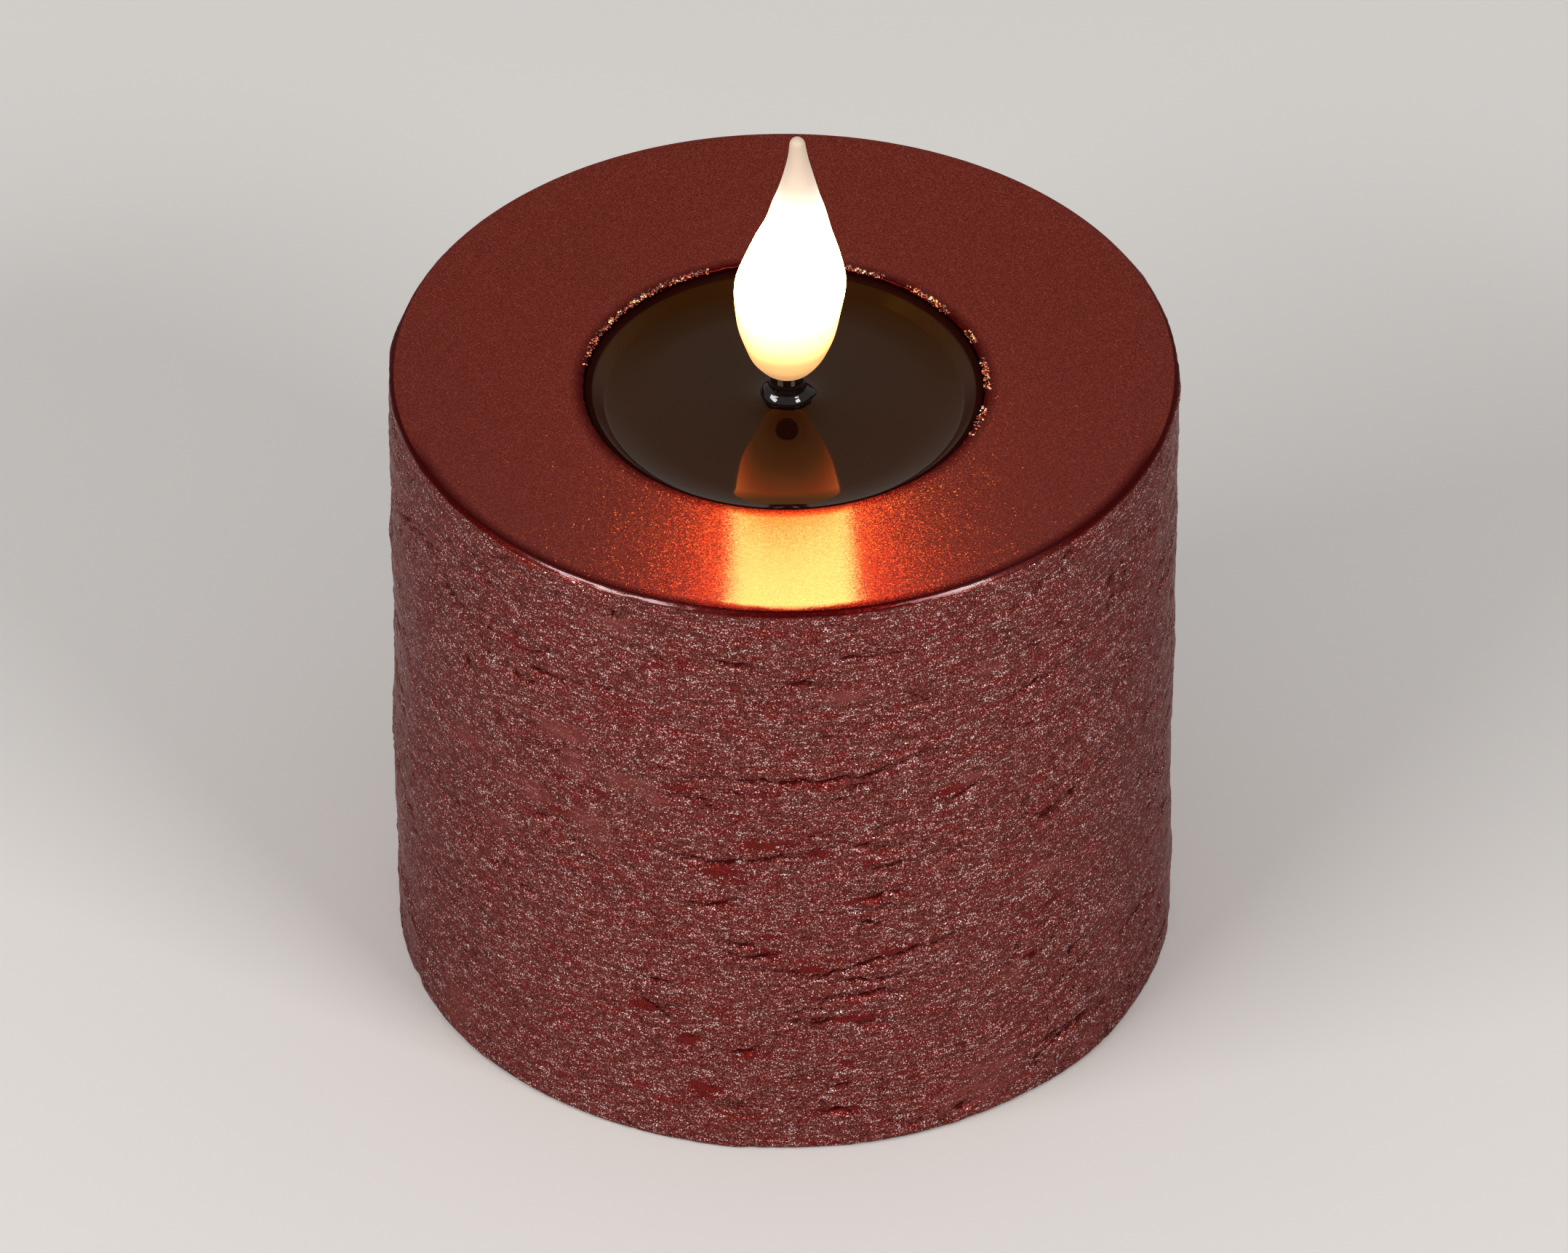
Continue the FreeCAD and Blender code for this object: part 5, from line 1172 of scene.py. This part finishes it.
class CANDLE_OT_flame(bpy.types.Operator):
    """Makes the moulded silicone flame with its seat for the lamp"""
    bl_idname = "candle.flame"
    bl_label = "Flame"

    def execute(self, context):
        settings = context.scene.candle_flame
        hole = STEM_R + HOLE_PLAY
        room = LED_R + LED_PLAY
        share = 0.5 - 0.5 * np.cos(np.linspace(0, math.pi, FLAME_ROWS))
        heights = FLAME_FOOT + (FLAME_HIGH - FLAME_FOOT) * share
        radii = FLAME_R * self.curve(FLAME_RADIUS_SHARES, share)
        low_turn = np.clip((heights - FLAME_FOOT) / FLAME_FOOT_ROUND, 0, 1)
        radii = FLAME_UNDERSIDE_R + (radii - FLAME_UNDERSIDE_R) * np.sqrt(1 - (1 - low_turn) ** 2)
        high_turn = np.clip((FLAME_HIGH - heights) / FLAME_TIP_ROUND, 0, 1)
        radii = radii * np.sqrt(1 - (1 - high_turn) ** 2)
        outline = [(0, LED_TOP + SEAT_GAP)] + run((room, LED_TOP + SEAT_GAP), (room, STEM_TOP), 3)
        outline += run((hole, STEM_TOP), (hole, FLAME_FOOT), 2)
        outline += [(hole, FLAME_FOOT)]
        outline += list(zip(radii[:-1], heights[:-1]))
        outline += [(0, FLAME_HIGH)]
        piece = turned("flame", outline, 128, 60)
        places = points_of(piece.data)
        reach = np.hypot(places[:, 0], places[:, 1])
        angle = np.arctan2(places[:, 1], places[:, 0])
        level = (places[:, 2] - FLAME_FOOT) / (FLAME_HIGH - FLAME_FOOT)
        outer = smooth_share(reach, room, room + 0.6 * MM) * smooth_share(level, 0.02, 0.15)
        # Hand-made unevenness of the moulding: shallow flutes that turn with the height
        flutes = 0.12 * np.sin(3 * angle + 5 * level) + 0.09 * np.sin(5 * angle - 9 * level + 1.3)
        flutes += 0.09 * np.sin(2 * angle + 19 * level)
        grown = 1 + outer * flutes * MM / np.maximum(reach, 1 * MM)
        places[:, 0] *= grown
        places[:, 1] *= grown
        lean = self.curve(FLAME_LEAN_SHARES, level)
        hollow = 1 - smooth_share(reach, hole, room + 0.1 * MM)
        low = 1 - smooth_share(places[:, 2], LED_TOP + 1 * MM, LED_TOP + 2 * MM)
        places[:, 0] += STEM_X + FLAME_LEAN * lean * (1 - hollow * low)
        put_points(piece.data, places)
        piece.data.materials.append(made("lit_milky_silicone", lit_silicone, settings))
        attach(piece, "candle")
        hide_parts("flame_sleeve")
        return {"FINISHED"}

    def curve(self, shares, level):
        """A smooth curve through shares that are spaced evenly along a length, read at levels of it."""
        shares = np.array([2 * shares[0] - shares[1], *shares, 2 * shares[-1] - shares[-2]])
        at = np.linspace(0, len(shares) - 3, CURVE_READS)
        first = np.minimum(at.astype(int), len(shares) - 4)
        t = at - first
        p0, p1, p2, p3 = (shares[first + k] for k in range(4))
        smooth = 0.5 * (2 * p1 + (p2 - p0) * t + (2 * p0 - 5 * p1 + 4 * p2 - p3) * t ** 2
                        + (3 * p1 - p0 - 3 * p2 + p3) * t ** 3)
        return np.interp(level, np.linspace(0, 1, CURVE_READS), smooth)


class CANDLE_OT_housing(bpy.types.Operator):
    """Gives every piece of the battery housing and its works a finish"""
    bl_idname = "candle.housing"
    bl_label = "Housing and Works"

    def execute(self, context):
        abs_black = made("spark_textured_black_abs", moulded, "1B1817", "242120", 0.5, 0.35 * MM)
        nylon = made("black_nylon", moulded, "121212", "1C1C1C", 0.4, 0.3 * MM)
        zinc = made("zinc_plated_steel", plated, "A9A8A0", "C4C3BC", 0.3, 0.4 * MM)
        nickel = made("nickel_plated_steel", plated, "B7B2A6", "D2CEC4", 0.25, 0.5 * MM)
        tin = made("tinned_steel_wire", plated, "B4B5B6", "CDCED0", 0.3, 0.3 * MM)
        steel = made("bent_switch_steel", plated, "AEB0B2", "CBCDCF", 0.28, 0.5 * MM)
        red_pvc = made("red_pvc_insulation", moulded, "A51C1B", "B92825", 0.38, 0.5 * MM)
        black_pvc = made("black_pvc_insulation", moulded, "141414", "1D1D1E", 0.38, 0.5 * MM)
        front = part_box("battery_cell_front")
        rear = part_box("battery_cell_rear")
        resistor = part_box("led_resistor")
        finishes = {
            "drum_cap": abs_black,
            "base_plate": abs_black,
            "battery_door": abs_black,
            "door_latch": abs_black,
            "switch_knob": nylon,
            "housing_screws": zinc,
            "board_screws": zinc,
            "contact_bridge": nickel,
            "contact_negative": nickel,
            "contact_positive": nickel,
            "negative_spring": nickel,
            "bridge_spring": nickel,
            "led_leads": tin,
            "switch_terminals": tin,
            "switch_frame": steel,
            "switch_base": made("brown_phenolic", moulded, "4A2A18", "5B3823", 0.5, 0.4 * MM),
            "battery_cell_front": made("front_cell_sleeve", cell_sleeve, front[0].x, front[1].x, True),
            "battery_cell_rear": made("rear_cell_sleeve", cell_sleeve, rear[0].x, rear[1].x, False),
            "flame_wire_positive": red_pvc,
            "battery_wire_positive": red_pvc,
            "flame_wire_negative": black_pvc,
            "battery_wire_negative": black_pvc,
            "circuit_board": made("green_phenolic_laminate", laminate),
            "controller_chip": made("black_potting_resin", moulded, "0E0E0F", "191919", 0.3, 0.5 * MM),
            "timer_crystal": made("drawn_crystal_can", plated, "B9BBBD", "D4D6D8", 0.2, 0.4 * MM),
            "filter_capacitor": made("capacitor_pvc_sleeve", moulded, "1A2440", "232F52", 0.3, 0.6 * MM),
            "led_resistor": made("banded_resistor_lacquer", resistor_bands, resistor[0].x, resistor[1].x),
            "flame_led": made("clear_led_epoxy", led_epoxy),
        }
        for node, material in finishes.items():
            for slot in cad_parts[node].material_slots:
                slot.material = material
        return {"FINISHED"}


class CANDLE_OT_switch_words(bpy.types.Operator):
    """Raises ON and OFF beside the switch on the underside"""
    bl_idname = "candle.switch_words"
    bl_label = "Switch Words"

    def execute(self, context):
        switch_y = (KNOB[0].y + KNOB[1].y) / 2
        for word, x in WORD_PLACES:
            text = bpy.data.curves.new("word", "FONT")
            text.body = word
            text.size = WORD_H
            text.extrude = WORD_RAISE / 2
            text.bevel_depth = WORD_RAISE / 6
            text.align_x = "CENTER"
            text.align_y = "CENTER"
            holder = bpy.data.objects.new("word", text)
            context.scene.collection.objects.link(holder)
            graph = context.evaluated_depsgraph_get()
            mesh = bpy.data.meshes.new_from_object(holder.evaluated_get(graph), depsgraph=graph)
            bpy.data.objects.remove(holder)
            place = Matrix.Translation((x, switch_y, PLATE_LOW - WORD_RAISE / 4))
            mesh.transform(place @ Matrix.Rotation(math.pi, 4, "X"))
            face_outwards(mesh, 30)
            name = "word_" + word.lower()
            mesh.name = name
            piece = bpy.data.objects.new(name, mesh)
            context.scene.collection.objects.link(piece)
            piece.data.materials.clear()
            piece.data.materials.append(bpy.data.materials["spark_textured_black_abs"])
            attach(piece, "candle")
        return {"FINISHED"}


class CANDLE_OT_stage(bpy.types.Operator):
    """Makes the floor, the lamps, the sky and the camera"""
    bl_idname = "candle.stage"
    bl_label = "Stage"

    def execute(self, context):
        settings = context.scene.candle_stage
        scene = context.scene
        floor_mesh = bpy.data.meshes.new("floor")
        work = bmesh.new()
        bmesh.ops.create_circle(work, cap_ends=True, segments=96, radius=FLOOR_R)
        work.to_mesh(floor_mesh)
        work.free()
        floor = bpy.data.objects.new("floor", floor_mesh)
        floor.location.z = -FLOOR_DROP
        scene.collection.objects.link(floor)
        floor_mesh.materials.append(made("pale_paper_floor", self.paper, settings))
        world = bpy.data.worlds.new("even_sky")
        scene.world = world
        world.use_nodes = True
        join(world.node_tree, world.node_tree.nodes["Background"],
             {"Color": hex_colour("FFFFFF"), "Strength": settings.sky})
        # Place, width, height and power
        lamps = (("left_softbox", (-0.68, -0.56, 0.66), 0.70, 0.18, settings.left),
                 ("right_softbox", (0.60, -0.62, 0.62), 0.42, 0.20, settings.right))
        for name, place, width, height, power in lamps:
            light = bpy.data.lights.new(name, "AREA")
            light.shape = "RECTANGLE"
            light.size = width
            light.size_y = height
            light.energy = power
            lamp = bpy.data.objects.new(name, light)
            lamp.location = place
            lamp.rotation_euler = (AIM - Vector(place)).to_track_quat("-Z", "Y").to_euler()
            scene.collection.objects.link(lamp)
        eye, _, _, forward = camera_axes()
        lens = bpy.data.cameras.new("photograph_camera")
        lens.sensor_width = SENSOR_W
        lens.lens = SENSOR_W * FOCAL_PX / PHOTO_W
        lens.clip_end = CLIP_END
        camera = bpy.data.objects.new("photograph_camera", lens)
        camera.location = eye
        camera.rotation_euler = forward.to_track_quat("-Z", "Y").to_euler()
        scene.collection.objects.link(camera)
        scene.camera = camera
        scene.view_settings.view_transform = "Standard"
        return {"FINISHED"}

    def paper(self, tree, settings):
        """Seamless background paper: matt, with the faintest fibre."""
        place = add(tree, "ShaderNodeTexCoord").outputs["Object"]
        fibre = add(tree, "ShaderNodeTexNoise", {"Vector": place, "Scale": 1 / (0.5 * MM), "Detail": 3.0})
        bump = add(tree, "ShaderNodeBump", {"Height": fibre.outputs["Fac"], "Distance": 0.01 * MM})
        return add(tree, "ShaderNodeBsdfPrincipled", {"Base Color": settings.floor, "Roughness": 0.9,
                                                      "Specular IOR Level": 0.1,
                                                      "Normal": bump.outputs["Normal"]})


PIECES = (CANDLE_OT_stage, CANDLE_OT_wax_body, CANDLE_OT_edge_crumbs, CANDLE_OT_melt_pool, CANDLE_OT_wick,
          CANDLE_OT_flame, CANDLE_OT_housing, CANDLE_OT_switch_words)


class CANDLE_PT_panel(bpy.types.Panel):
    """Lists the pieces of the candle and their settings"""
    bl_idname = "CANDLE_PT_panel"
    bl_label = "LED Candle"
    bl_space_type = "VIEW_3D"
    bl_region_type = "UI"
    bl_category = "Candle"

    def draw(self, context):
        for piece in PIECES:
            self.layout.operator(piece.bl_idname)
        for group in (context.scene.candle_wax, context.scene.candle_flame, context.scene.candle_stage):
            box = self.layout.box()
            for name in group.bl_rna.properties.keys():
                if name not in ("name", "rna_type"):
                    box.prop(group, name)


SETTINGS = {"candle_wax": WaxSettings, "candle_flame": FlameSettings, "candle_stage": StageSettings}


def register():
    for group in (*SETTINGS.values(), *PIECES, CANDLE_PT_panel):
        bpy.utils.register_class(group)
    for name, group in SETTINGS.items():
        setattr(bpy.types.Scene, name, bpy.props.PointerProperty(type=group))


def unregister():
    for name in SETTINGS:
        delattr(bpy.types.Scene, name)
    for group in (CANDLE_PT_panel, *reversed(PIECES), *reversed(SETTINGS.values())):
        bpy.utils.unregister_class(group)


def main():
    register()
    bpy.ops.candle.stage()
    bpy.ops.candle.wax_body()
    bpy.ops.candle.edge_crumbs()
    bpy.ops.candle.melt_pool()
    bpy.ops.candle.wick()
    bpy.ops.candle.flame()
    bpy.ops.candle.housing()
    bpy.ops.candle.switch_words()


if __name__ == "__main__":
    main()
